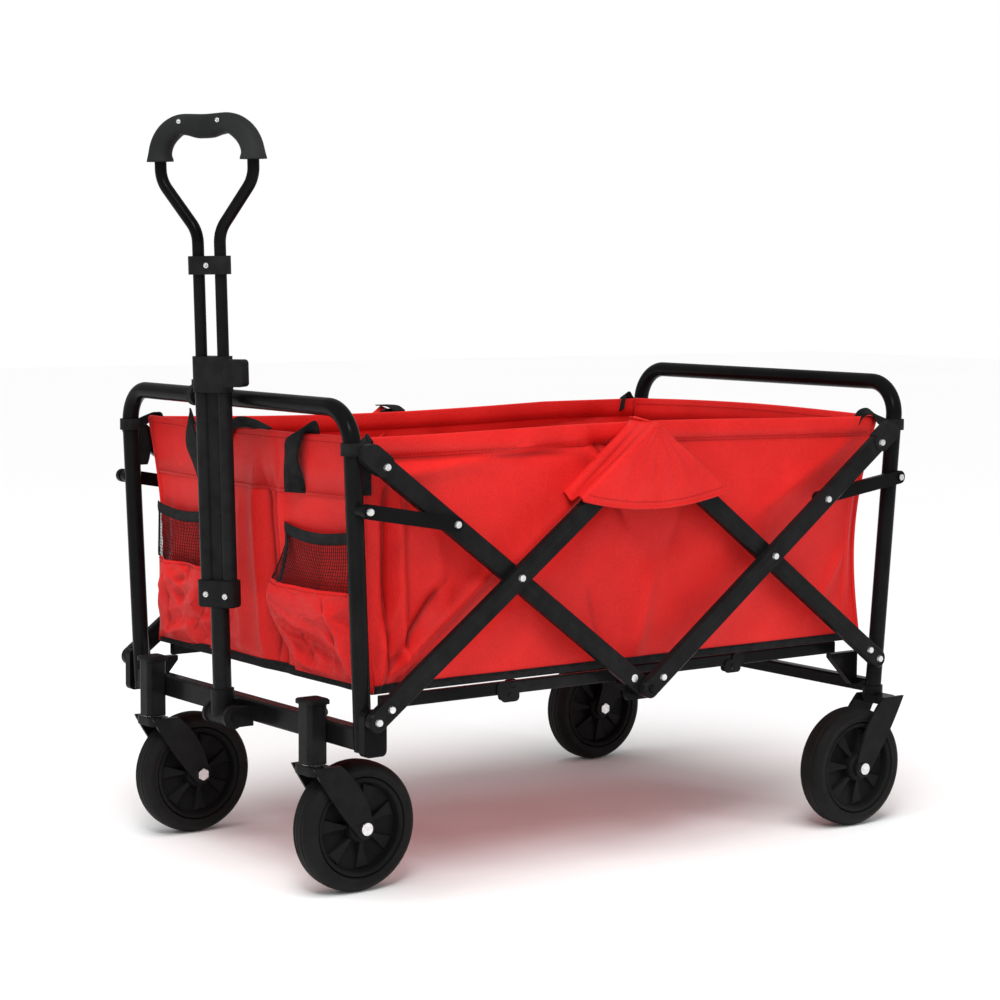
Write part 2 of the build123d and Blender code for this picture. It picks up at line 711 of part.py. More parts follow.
with BuildPart() as handle_yoke:
    yoke_half = yoke_width / 2
    pin(handle_pivot_x, handle_pivot_z, handle_pivot_y + yoke_half, handle_pivot_y - yoke_half, yoke_radius)
    pin_half = yoke_half + 9
    pin_from, pin_to = handle_pivot_y + pin_half, handle_pivot_y - pin_half
    pin(handle_pivot_x, handle_pivot_z, pin_from, pin_to, handle_pin_radius)
    with BuildSketch(across_plane(0)):
        Circle(socket_radius)
    extrude(amount=socket_top)
    add(handle_lower_tube.part, mode=Mode.SUBTRACT)
save(handle_yoke, "handle_yoke")

with BuildPart() as handle_lower_block:
    with BuildSketch(across_plane(block_bottom)):
        RectangleRounded(block_width, block_depth, 9)
    extrude(amount=block_height)
    chamfer(handle_lower_block.edges().group_by(Axis.Z)[0], 2)
    with BuildSketch(across_plane(block_bottom - 1)):
        Circle(lower_tube_radius + running_clearance)
    extrude(amount=tube_head - block_bottom + 2, mode=Mode.SUBTRACT)
save(handle_lower_block, "handle_lower_block")

twin_places = [(-twin_spacing / 2, 0), (twin_spacing / 2, 0)]
collar_bottom = collar_top - collar_height
web_depth = 7.0  # the web that joins the two outer tubes into one section
with BuildPart() as handle_outer_tubes:
    with BuildSketch(across_plane(outer_tube_bottom)):
        with Locations(*twin_places):
            Circle(outer_tube_radius)
        Rectangle(twin_spacing, web_depth)
        with Locations(*twin_places):
            Circle(inner_tube_radius + slide_clearance, mode=Mode.SUBTRACT)
    extrude(amount=collar_bottom - outer_tube_bottom)
save(handle_outer_tubes, "handle_outer_tubes")

with BuildPart() as handle_collar:
    with BuildSketch(across_plane(collar_bottom)):
        RectangleRounded(collar_width, collar_depth, 10)
    extrude(amount=collar_height)
    with BuildSketch(across_plane(collar_bottom - 1)):
        with Locations(*twin_places):
            Circle(inner_tube_radius + slide_clearance)
    extrude(amount=collar_height + 2, mode=Mode.SUBTRACT)
save(handle_collar, "handle_collar")

latch_gap = 0.6
latch_width = 30.0
latch_height = 34.0
latch_depth = 15.0
latch_pivot_inset = 7.0
latch_middle = collar_top - 20.0
with BuildPart() as handle_latch:
    with BuildSketch(loop_plane(latch_depth / 2)):
        with Locations((collar_width / 2 + latch_gap + latch_width / 2, latch_middle)):
            RectangleRounded(latch_width, latch_height, 5)
    extrude(amount=latch_depth)
save(handle_latch, "handle_latch")

tube_bottom = 276.0
shoulder_height = 611.0
waist_height = 676.0
tube_bend = 40.0
half_loop = loop_width / 2
grip_radius = 14.5
flare_radius = 16.5
loop_top = grip_top - grip_radius
grip_end = 699.0
with BuildPart() as handle_loop:
    with BuildLine(loop_plane()) as loop_path:
        FilletPolyline(
            (-twin_spacing / 2, tube_bottom),
            (-twin_spacing / 2, shoulder_height),
            (-half_loop, waist_height),
            (-half_loop, loop_top),
            (half_loop, loop_top),
            (half_loop, waist_height),
            (twin_spacing / 2, shoulder_height),
            (twin_spacing / 2, tube_bottom),
            radius=tube_bend,
        )
    with BuildSketch(Plane(origin=loop_path.line @ 0, z_dir=loop_path.line % 0)):
        Circle(inner_tube_radius)
    sweep()
save(handle_loop, "handle_loop")

spacer_width = 58.0
spacer_depth = 22.0
with BuildPart() as handle_spacer:
    with BuildSketch(across_plane(spacer_top - spacer_height)):
        RectangleRounded(spacer_width, spacer_depth, 10)
        with Locations(*twin_places):
            Circle(inner_tube_radius + pin_clearance, mode=Mode.SUBTRACT)
    extrude(amount=spacer_height)
save(handle_spacer, "handle_spacer")

flare_height = 7.0
with BuildPart() as handle_grip:
    with BuildLine(loop_plane()) as grip_path:
        FilletPolyline(
            (-half_loop, grip_end),
            (-half_loop, loop_top),
            (half_loop, loop_top),
            (half_loop, grip_end),
            radius=tube_bend,
        )
    with BuildSketch(Plane(origin=grip_path.line @ 0, z_dir=grip_path.line % 0)):
        Circle(grip_radius)
    sweep()
    with BuildSketch(across_plane(grip_end)):
        with Locations((-half_loop, 0), (half_loop, 0)):
            Circle(flare_radius)
    extrude(amount=flare_height)
    add(handle_loop.part, mode=Mode.SUBTRACT)
save(handle_grip, "handle_grip")

clip_y = 95.0
clip_width = 12.0
with BuildPart() as handle_clip:
    with BuildSketch(Plane.XZ.offset(-clip_y)):
        with Locations((front_x - front_lean, front_top_z)):
            Circle(post_radius + 3)
            with Locations((0, post_radius + 4)):
                Rectangle(10, 10)
    extrude(amount=clip_width)
    add(front_u_frame.part, mode=Mode.SUBTRACT)
save(handle_clip, "handle_clip")

# ---------------------------------------------------------------- plain fabric solids
corner_gap = 0.1
front_top_x = front_post_x(tub_top_z) + end_wall_inset
rear_top_x = rear_post_x(tub_top_z) - end_wall_inset
front_low_x = front_x + end_wall_inset
rear_low_x = rear_x - end_wall_inset


def build_end_wall(low_x, top_x, outward):
    """An end wall parallel to its leaning frame, between the side walls."""
    with BuildPart() as wall:
        with BuildSketch(Plane.XZ.offset(-(side_wall_y - fabric - corner_gap))):
            with BuildLine():
                Polyline(
                    (low_x, tub_bottom_z),
                    (low_x + outward * fabric, tub_bottom_z),
                    (top_x + outward * fabric, tub_top_z),
                    (top_x, tub_top_z),
                    (low_x, tub_bottom_z),
                )
            make_face()
        extrude(amount=2 * (side_wall_y - fabric - corner_gap))
    return wall


save(build_end_wall(front_low_x, front_top_x, -1), "front_wall")
save(build_end_wall(rear_low_x, rear_top_x, 1), "rear_wall")

with BuildPart() as near_side_wall:
    with BuildSketch(side_plane(0, -side_wall_y + fabric, 0)):
        with BuildLine():
            Polyline(
                (front_low_x - fabric, tub_bottom_z),
                (rear_low_x + fabric, tub_bottom_z),
                (rear_top_x + fabric, tub_top_z),
                (front_top_x - fabric, tub_top_z),
                (front_low_x - fabric, tub_bottom_z),
            )
        make_face()
    extrude(amount=fabric)
for side in ("near", "far"):
    with BuildPart() as side_wall:
        add(near_side_wall.part if side == "near" else near_side_wall.part.mirror(Plane.XZ))
    save(side_wall, f"side_wall_{side}")

with BuildPart() as floor_pad:
    with BuildSketch(Plane.XY.offset(tub_bottom_z)):
        with Locations(((front_low_x + rear_low_x) / 2, 0)):
            RectangleRounded(
                rear_low_x - front_low_x - 2,
                2 * (side_wall_y - fabric) - 2,
                6,
            )
    extrude(amount=floor_thickness)
save(floor_pad, "floor_pad")

# The pockets lie on the front wall's outer face, which leans with the front frame.
wall_tilt = atan2(front_low_x - front_top_x, tub_top_z - tub_bottom_z)
pocket_skin = 2.5


def wall_face_plane(depth=0.0):
    """The front wall's outer face, moved out by depth. Its X is +Y and its Y runs up the wall."""
    outward = Vector(-cos(wall_tilt), 0, -sin(wall_tilt))
    start = Vector(front_low_x - fabric, 0, tub_bottom_z) + outward * (depth + corner_gap)
    return Plane(origin=start, x_dir=(0, -1, 0), z_dir=outward)


def pocket_outline(inset, rise):
    """The flared outline of the near pocket, moved in by inset and with its mouth raised by rise."""
    low = pocket_low_z - tub_bottom_z + inset
    top = pocket_top_z - tub_bottom_z + rise
    flare = (pocket_top_y - pocket_bottom_y) / (pocket_top_z - pocket_low_z)
    Polyline(
        (pocket_bottom_y + 1.3 * inset, low),
        (pocket_outer_y - inset, low),
        (pocket_outer_y - inset, top),
        (pocket_top_y + 1.3 * inset + flare * rise, top),
        (pocket_bottom_y + 1.3 * inset, low),
    )


pocket_seam = 12.0
with BuildPart() as front_pockets:
    with BuildSketch(wall_face_plane()):
        with BuildLine():
            pocket_outline(0, 0)
        make_face()
    extrude(amount=pocket_depth, taper=10)
    with BuildSketch(wall_face_plane(-1)):
        with BuildLine():
            pocket_outline(pocket_seam, 6)
        make_face()
    extrude(amount=pocket_depth - pocket_skin + 1, mode=Mode.SUBTRACT)
    both_sides()
save(front_pockets, "front_pockets")

loop_strap_y = 109.0
loop_strap_width = 24.0
loop_strap_length = 80.0
with BuildPart() as front_loops:
    with BuildSketch(wall_face_plane(4)):
        with Locations((loop_strap_y, tub_top_z - tub_bottom_z - loop_strap_length / 2)):
            RectangleRounded(loop_strap_width, loop_strap_length, 4)
    extrude(amount=fabric)
    both_sides()
save(front_loops, "front_loops")

flap_roof = 34.0  # half-width of the flap where it leaves the tub's top edge
with BuildPart() as hub_flaps:
    with BuildSketch(side_plane(middle_x, -flap_y + fabric, 0)):
        with BuildLine():
            Line((-flap_half_width, flap_tip_z), (-flap_roof, flap_top_z))
            Line((-flap_roof, flap_top_z), (flap_roof, flap_top_z))
            Line((flap_roof, flap_top_z), (flap_half_width, flap_tip_z))
            ThreePointArc((flap_half_width, flap_tip_z), (0, flap_low_z), (-flap_half_width, flap_tip_z))
        make_face()
    extrude(amount=fabric)
    with BuildSketch(Plane.XY.offset(flap_top_z - fabric)):
        with Locations((middle_x, -flap_y)):
            Rectangle(2 * flap_roof, flap_y - side_wall_y + fabric, align=(Align.CENTER, Align.MIN))
    extrude(amount=fabric)
    both_sides()
save(hub_flaps, "hub_flaps")
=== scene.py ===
import json
import math

import bmesh
import bpy
from mathutils import Matrix, Vector, noise


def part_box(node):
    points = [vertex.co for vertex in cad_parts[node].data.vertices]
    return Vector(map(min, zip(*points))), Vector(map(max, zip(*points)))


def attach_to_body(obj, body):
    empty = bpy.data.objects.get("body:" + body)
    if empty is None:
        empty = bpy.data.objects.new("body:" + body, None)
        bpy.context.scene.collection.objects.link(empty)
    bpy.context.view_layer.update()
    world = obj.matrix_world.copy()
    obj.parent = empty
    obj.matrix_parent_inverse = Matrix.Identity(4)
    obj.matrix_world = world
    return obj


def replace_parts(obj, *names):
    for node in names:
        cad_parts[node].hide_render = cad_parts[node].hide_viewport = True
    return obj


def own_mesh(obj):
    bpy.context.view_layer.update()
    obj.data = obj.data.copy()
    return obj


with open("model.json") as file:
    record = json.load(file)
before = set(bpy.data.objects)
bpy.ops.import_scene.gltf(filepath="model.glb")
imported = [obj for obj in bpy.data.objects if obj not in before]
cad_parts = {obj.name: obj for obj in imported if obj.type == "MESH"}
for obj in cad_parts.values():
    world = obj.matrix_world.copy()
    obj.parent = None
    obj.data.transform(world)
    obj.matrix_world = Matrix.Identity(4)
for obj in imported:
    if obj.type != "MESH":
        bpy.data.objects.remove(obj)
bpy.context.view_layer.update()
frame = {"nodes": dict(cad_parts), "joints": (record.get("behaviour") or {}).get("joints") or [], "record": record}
nodes = frame["nodes"]
scene = bpy.context.scene

# ---- measures read from the frame
pivot = {j["name"]: Vector(j["pos_m"]) for j in frame["joints"] if "pos_m" in j}
front_line = pivot["fold"].x
hub_x = pivot["upper_hub_pivot"].x
wall_low, wall_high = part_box("side_wall_near")
front_low, front_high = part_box("front_wall")
rear_low, rear_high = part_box("rear_wall")
floor_low, floor_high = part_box("floor_pad")
pocket_low, pocket_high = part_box("front_pockets")
flap_low, flap_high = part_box("hub_flaps")
cloth = 0.003  # thickness of the plain fabric solids
tub_floor, tub_top = wall_low.z, wall_high.z
tub_height = tub_top - tub_floor
wall_y = -wall_low.y - cloth / 2
front_foot_x, front_top_x = front_high.x, front_low.x + cloth
rear_foot_x, rear_top_x = rear_low.x, rear_high.x - cloth
post_y = 0.274
post_radius = 0.011
sides = ((-1, "near"), (1, "far"))


def mix(a, b, t):
    return a + (b - a) * t


def smooth(t):
    t = min(1.0, max(0.0, t))
    return t * t * (3 - 2 * t)


# ---- materials
class Nodes:
    """A small hand for building one material's node tree."""

    def __init__(self, name):
        self.material = bpy.data.materials.new(name)
        self.material.use_nodes = True
        self.tree = self.material.node_tree
        self.shader = self.tree.nodes["Principled BSDF"]

    def add(self, kind, **values):
        node = self.tree.nodes.new("ShaderNode" + kind)
        for key, value in values.items():
            if hasattr(node, key):
                setattr(node, key, value)
            else:
                node.inputs[key.replace("_", " ")].default_value = value
        return node

    def link(self, source, target):
        self.tree.links.new(source, target)

    def set(self, **values):
        for key, value in values.items():
            self.shader.inputs[key.replace("_", " ")].default_value = value

    def feed(self, socket, value):
        """Sets a socket, or links it where the value is another node's output."""
        if isinstance(value, (int, float, tuple)):
            socket.default_value = value
        else:
            self.link(value, socket)

    def noise(self, scale, detail=3.0, rough=0.5):
        node = self.add("TexNoise", Scale=scale, Detail=detail, Roughness=rough)
        self.link(self.add("TexCoord").outputs["Object"], node.inputs["Vector"])
        return node.outputs["Fac"]

    def ramp(self, factor, low, high, start=0.3, end=0.7):
        node = self.add("ValToRGB")
        node.color_ramp.elements[0].position, node.color_ramp.elements[1].position = start, end
        node.color_ramp.elements[0].color, node.color_ramp.elements[1].color = low, high
        self.link(factor, node.inputs["Fac"])
        return node.outputs["Color"]

    def levels(self, factor, low, high):
        node = self.add("MapRange", To_Min=low, To_Max=high)
        self.link(factor, node.inputs["Value"])
        return node.outputs["Result"]

    def math(self, operation, a, b=None):
        node = self.add("Math", operation=operation)
        self.feed(node.inputs[0], a)
        if b is not None:
            self.feed(node.inputs[1], b)
        return node.outputs["Value"]

    def mixed(self, factor, first, second, blend_type="MIX"):
        """A mix of two colours. Its sockets go by number, as their names are not unique."""
        node = self.add("Mix", data_type="RGBA", blend_type=blend_type)
        for index, value in ((0, factor), (6, first), (7, second)):
            self.feed(node.inputs[index], value)
        return node.outputs[2]

    def rounded(self, radius):
        return self.add("Bevel", samples=3, Radius=radius).outputs["Normal"]

    def bump(self, height, strength, distance, under=None):
        node = self.add("Bump", Strength=strength, Distance=distance)
        self.link(height, node.inputs["Height"])
        if under is not None:
            self.link(under, node.inputs["Normal"])
        return node.outputs["Normal"]

    def finish(self, color=None, roughness=None, normal=None):
        for socket, source in (("Base Color", color), ("Roughness", roughness), ("Normal", normal)):
            if source is not None:
                self.link(source, self.shader.inputs[socket])
        return self.material


def coated(name, dark, light, rough_low, rough_high, grain, grain_depth, edge=0.0, radius=0.0009, coat=0.0):
    """A black coating or plastic: mottled colour, uneven gloss, a fine grain and slightly worn edges."""
    n = Nodes(name)
    n.set(Coat_Weight=coat, Coat_Roughness=0.1, Specular_IOR_Level=0.045)
    cloudy = n.noise(14.0, 4.0)
    color = n.ramp(cloudy, dark, light)
    if edge > 0:
        worn = n.add("NewGeometry").outputs["Pointiness"]
        patchy = n.math("MULTIPLY", n.levels(worn, -6.0, 5.6), n.noise(60.0, 4.0))
        color = n.mixed(n.math("MULTIPLY", patchy, edge), color, (0.07, 0.07, 0.073, 1))
    rough = n.levels(n.noise(45.0, 5.0, 0.6), rough_low, rough_high)
    return n.finish(color, rough, n.bump(n.noise(grain, 2.0), 0.35, grain_depth, n.rounded(radius)))


def headed(name, face_y):
    """Powder coat with bright steel heads: all that stands further out to the side than face_y is steel."""
    n = Nodes(name)
    place = n.add("SeparateXYZ")
    n.link(n.add("TexCoord").outputs["Object"], place.inputs["Vector"])
    n.set(Specular_IOR_Level=0.05)
    steel_here = n.math("GREATER_THAN", n.math("ABSOLUTE", place.outputs["Y"]), face_y)
    n.link(steel_here, n.shader.inputs["Metallic"])
    paint = n.ramp(n.noise(14.0, 4.0), powder_dark, powder_light)
    bright = n.ramp(n.noise(160.0, 4.0), steel_dark, steel_light)
    rough = n.levels(n.noise(45.0, 5.0, 0.6), 0.22, 0.40)
    normal = n.bump(n.noise(900.0), 0.3, 0.0002, n.rounded(0.0009))
    return n.finish(n.mixed(steel_here, paint, bright), rough, normal)


def steel(name):
    n = Nodes(name)
    n.set(Metallic=1.0, Anisotropic=0.2)
    color = n.ramp(n.noise(160.0, 4.0), steel_dark, steel_light)
    rough = n.levels(n.noise(240.0, 4.0, 0.7), 0.16, 0.42)
    return n.finish(color, rough, n.bump(n.noise(900.0), 0.15, 0.0001, n.rounded(0.0008)))


def weave_waves(n, pitch_u, pitch_v):
    """The two waves of a plain weave, across and along, from the piece's own UV in metres."""
    uv = n.add("SeparateXYZ")
    n.link(n.add("TexCoord").outputs["UV"], uv.inputs["Vector"])
    turn = 2 * math.pi
    across = n.math("SINE", n.math("MULTIPLY", uv.outputs["X"], turn / pitch_u))
    along = n.math("SINE", n.math("MULTIPLY", uv.outputs["Y"], turn / pitch_v))
    return across, along


def polyester(name, deep, bright, wrinkle=0.5, crease=0.470):
    """Coated woven polyester: crosswise ribs, cloudy dye, a faint sheen and soft creases with painted shade in
    them.

    The painted shade darkens the colour by the surface's curvature: it starts where the surface turns hollow and
    is full where it is as hollow as crease; nearer 0.5 paints shade into shallower folds too."""
    n = Nodes(name)
    n.set(Sheen_Weight=0.03, Sheen_Roughness=0.4, Specular_IOR_Level=0.18)
    across, along = weave_waves(n, 0.0021, 0.0016)
    ribs = n.math("ADD", n.math("MULTIPLY", across, 0.75), n.math("MULTIPLY", along, 0.25))
    weave = n.math("MULTIPLY", ribs, 0.5)
    cloudy = n.noise(7.0, 5.0, 0.6)
    slub = n.noise(420.0, 2.0)
    shade = n.math("ADD", n.math("MULTIPLY", cloudy, 0.62), n.math("MULTIPLY", weave, 0.07))
    shade = n.math("ADD", shade, n.math("MULTIPLY", slub, 0.36))
    color = n.ramp(shade, deep, bright, 0.3, 0.72)
    # painted shade: the colour is darkened in hollow creases, by curvature, standing in for the shade in the folds
    hollow = n.add("NewGeometry").outputs["Pointiness"]
    painted_crease_shade = n.ramp(hollow, (0.50, 0.42, 0.42, 1), (1, 1, 1, 1), crease, 0.499)
    color = n.mixed(1.0, color, painted_crease_shade, "MULTIPLY")
    rough = n.levels(n.noise(30.0, 4.0), 0.42, 0.58)
    creases = n.bump(n.noise(26.0, 6.0, 0.55), wrinkle, 0.0016)
    normal = n.bump(weave, 0.5, 0.00022, creases)
    return n.finish(color, rough, normal)


def webbing(name, pitch_u=0.0019, pitch_v=0.003):
    """Black woven tape with diagonal ribs."""
    n = Nodes(name)
    n.set(Sheen_Weight=0.03, Sheen_Roughness=0.5, Specular_IOR_Level=0.12)
    across, along = weave_waves(n, pitch_u, pitch_v)
    ribs = n.math("MULTIPLY", across, along)
    shade = n.math("ADD", n.math("MULTIPLY", ribs, 0.22), n.noise(90.0, 4.0))
    color = n.ramp(shade, (0.004, 0.004, 0.0045, 1), (0.016, 0.016, 0.017, 1))
    rough = n.levels(n.noise(120.0, 3.0), 0.7, 0.92)
    return n.finish(color, rough, n.bump(ribs, 0.8, 0.0004))


def rubber(name):
    """Tyre rubber: dull black with moulding rings and a trace of dust."""
    n = Nodes(name)
    n.set(Specular_IOR_Level=0.14)
    dust = n.ramp(n.noise(22.0, 6.0, 0.65), (0.005, 0.005, 0.005, 1), (0.012, 0.0115, 0.011, 1), 0.35, 0.8)
    rough = n.levels(n.noise(35.0, 4.0), 0.5, 0.72)
    return n.finish(dust, rough, n.bump(n.noise(700.0, 3.0), 0.35, 0.0002, n.rounded(0.0008)))


powder_dark, powder_light = (0.0030, 0.0030, 0.0033, 1), (0.0062, 0.0062, 0.0068, 1)
powder = coated("powder_coat", powder_dark, powder_light, 0.16, 0.30, 900.0, 0.0002, 0.15, 0.0011, 0.02)
moulded = coated("moulded_plastic", (0.0035, 0.0035, 0.0038, 1), (0.0075, 0.0075, 0.008, 1),
                 0.36, 0.54, 1300.0, 0.0002, 0.2)
grip_rubber = coated("grip_rubber", (0.017, 0.0175, 0.018, 1), (0.030, 0.031, 0.031, 1),
                     0.42, 0.6, 700.0, 0.0003, 0.15)
wheel_plastic = coated("wheel_plastic", (0.006, 0.006, 0.0063, 1), (0.013, 0.013, 0.0135, 1),
                       0.34, 0.55, 500.0, 0.0002, 0.25)
steel_dark, steel_light = (0.62, 0.62, 0.63, 1), (0.86, 0.86, 0.85, 1)
tyre_rubber = rubber("tyre_rubber")
zinc = steel("zinc_steel")
red_cloth = polyester("red_polyester", (0.52, 0.009, 0.008, 1), (0.78, 0.021, 0.018, 1))
# the pouch's painted shade reaches into its shallower folds as well
red_pouch = polyester("red_pouch", (0.50, 0.008, 0.008, 1), (0.78, 0.022, 0.019, 1), 0.8, 0.484)
red_lining = polyester("red_lining", (0.46, 0.008, 0.008, 1), (0.66, 0.017, 0.016, 1))
black_tape = webbing("black_webbing")
black_net = webbing("black_netting", 0.0009, 0.0009)
red_thread = polyester("red_thread", (0.42, 0.008, 0.008, 1), (0.60, 0.016, 0.015, 1), 0.5, 0.3)
black_thread = webbing("black_thread", 0.0005, 0.0007)

finish_of = {"frame_black": powder, "rivet_steel": zinc, "plastic_black": moulded, "tyre": tyre_rubber,
             "wheel_plastic": wheel_plastic, "fabric_red": red_cloth, "webbing_black": black_tape}
for row in frame["record"]["subparts"]:
    target = nodes[row["node"]]
    target.data.materials.clear()
    target.data.materials.append(finish_of[row["material_slot"]])
head_face = {"front_pivots": 0.3062, "rear_pivots": 0.2978, "front_links": 0.3072, "rear_links": 0.2978}
for node, face_y in head_face.items():
    nodes[node].data.materials[0] = headed(f"headed_{node}", face_y)


# ---- mesh helpers
def make_object(name, points, faces, uvs, material):
    mesh = bpy.data.meshes.new(name)
    mesh.from_pydata([tuple(p) for p in points], [], faces)
    layer = mesh.uv_layers.new(name="UVMap")
    for loop in mesh.loops:
        layer.data[loop.index].uv = uvs[loop.vertex_index]
    mesh.polygons.foreach_set("use_smooth", [True] * len(mesh.polygons))
    mesh.materials.append(material)
    piece = bpy.data.objects.new(name, mesh)
    scene.collection.objects.link(piece)
    return piece


def grid_faces(columns, rows):
    faces = []
    for j in range(rows):
        for i in range(columns):
            a = j * (columns + 1) + i
            faces.append((a, a + 1, a + columns + 2, a + columns + 1))
    return faces


def surface(name, point, cells, size, material, thickness=0.0, subdivide=1):
    """A sheet over u and v from 0 to 1. Its UV is in metres: size is how long u and v are."""
    columns, rows = cells
    points, uvs = [], []
    for j in range(rows + 1):
        for i in range(columns + 1):
            u, v = i / columns, j / rows
            points.append(point(u, v))
            uvs.append((u * size[0], v * size[1]))
    piece = make_object(name, points, grid_faces(columns, rows), uvs, material)
    if thickness:
        if subdivide:
            piece.modifiers.new("subdivide", "SUBSURF").render_levels = subdivide
        solid = piece.modifiers.new("thickness", "SOLIDIFY")
        solid.thickness, solid.offset = thickness, 0.0
    return piece


def circle(count):
    """The cosine and sine of evenly spaced angles, once round."""
    angles = [2 * math.pi * k / count for k in range(count)]
    return [(math.cos(a), math.sin(a)) for a in angles]


def loft(name, rings, material, closed=False, around=0.05):
    """Skin over rings of points, all with the same count. Each ring is closed."""
    count = len(rings[0])
    points = [p for ring in rings for p in ring]
    uvs, length = [], 0.0
    for index, ring in enumerate(rings):
        if index:
            length += (Vector(ring[0]) - Vector(rings[index - 1][0])).length
        uvs += [(k / count * around, length) for k in range(count)]
    faces = []
    spans = len(rings) if closed else len(rings) - 1
    for j in range(spans):
        for k in range(count):
            a, b = j * count, ((j + 1) % len(rings)) * count
            faces.append((a + k, a + (k + 1) % count, b + (k + 1) % count, b + k))
    if not closed:
        faces.append(tuple(reversed(range(count))))
        faces.append(tuple(range((len(rings) - 1) * count, len(rings) * count)))
    piece = make_object(name, points, faces, uvs, material)
    fix = bmesh.new()
    fix.from_mesh(piece.data)
    bmesh.ops.recalc_face_normals(fix, faces=fix.faces)
    fix.to_mesh(piece.data)
    fix.free()
    return piece


def round_bar(name, path, radius, material, sides, up=Vector((0, 0, 1))):
    """A round bar along a list of points. Its radius is one number, or one for each point."""
    rings = []
    for index, here in enumerate(path):
        ahead = path[min(index + 1, len(path) - 1)] - path[max(index - 1, 0)]
        side = ahead.cross(up).normalized()
        over = side.cross(ahead).normalized()
        size = radius[index] if isinstance(radius, list) else radius
        rings.append([here + side * c * size + over * d * size for c, d in circle(sides)])
    return loft(name, rings, material)


def turned(profile, centre, steps):
    """A profile of radii and y, turned about Y through centre."""
    return [[centre + Vector((c * r, y, d * r)) for r, y in profile] for c, d in circle(steps)]


def stitches(name, path, normal, material, pitch=0.0055, length=0.0036, radius=0.00045):
    """A row of sewn stitches along path(0 to 1). Each is a thread that dips into the cloth at both ends."""
    # place along the stitch, lift and size
    thread_shape = ((-0.5, -0.4, 0.5), (-0.25, 0.5, 1.0), (0.25, 0.5, 1.0), (0.5, -0.4, 0.5))
    samples = [path(i / 200) for i in range(201)]
    lengths = [0.0]
    for a, b in zip(samples, samples[1:]):
        lengths.append(lengths[-1] + (b - a).length)
    points, faces, uvs = [], [], []
    count = int(lengths[-1] / pitch)
    k = 0
    for index in range(count):
        middle = (index + 0.5) * lengths[-1] / count
        while k < 199 and lengths[k + 1] < middle:
            k += 1
        share = (middle - lengths[k]) / max(1e-9, lengths[k + 1] - lengths[k])
        here = samples[k].lerp(samples[k + 1], share)
        along = (samples[k + 1] - samples[k]).normalized()
        side = along.cross(normal).normalized()
        base = len(points)
        for step, (s, lift, size) in enumerate(thread_shape):
            for corner in range(5):
                a = 2 * math.pi * corner / 5
                rise = lift * radius + math.sin(a) * radius * size
                points.append(here + along * s * length + normal * rise + side * math.cos(a) * radius * size)
                uvs.append((corner * 0.0004, step * 0.001))
        for step in range(3):
            for corner in range(5):
                a, b = base + step * 5, base + step * 5 + 5
                faces.append((a + corner, a + (corner + 1) % 5, b + (corner + 1) % 5, b + corner))
        faces.append(tuple(base + c for c in reversed(range(5))))
        faces.append(tuple(base + 15 + c for c in range(5)))
    return make_object(name, points, faces, uvs, material)


def crumple(x, z, seed):
    """Faceted crumpling, from about -1 to 1: flat faces that meet in soft creases."""
    big = 1 - 3.4 * abs(noise.noise(Vector((x * 11 + z * 5 + seed, z * 15, seed))))
    small = 1 - 3.2 * abs(noise.noise(Vector((x * 27, z * 31 + seed, seed + 7))))
    return 0.76 * big + 0.24 * small


def ridge(x, z, x0, z0, x1, z1, width):
    """How high a fold from one point to another stands at a place, from 0 to 1."""
    dx, dz = x1 - x0, z1 - z0
    length = math.hypot(dx, dz)
    along = ((x - x0) * dx + (z - z0) * dz) / length
    across = ((x - x0) * dz - (z - z0) * dx) / length
    fade = smooth((along + 0.02) / 0.05) * smooth((length + 0.02 - along) / 0.05)
    return math.exp(-abs(across / width) ** 1.5) * fade


def folded(x, z, rows, wide=1.0, tall=1.0):
    """The height of all folds at a place. A row is from x and z, to x and z, then width and height."""
    return sum(height * ridge(x, z, x0 * wide, z0 * tall, x1 * wide, z1 * tall, width)
               for x0, z0, x1, z1, width, height in rows)


def mount(piece, body):
    """Gives a piece the body that it rides on."""
    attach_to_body(piece, body)
    return piece


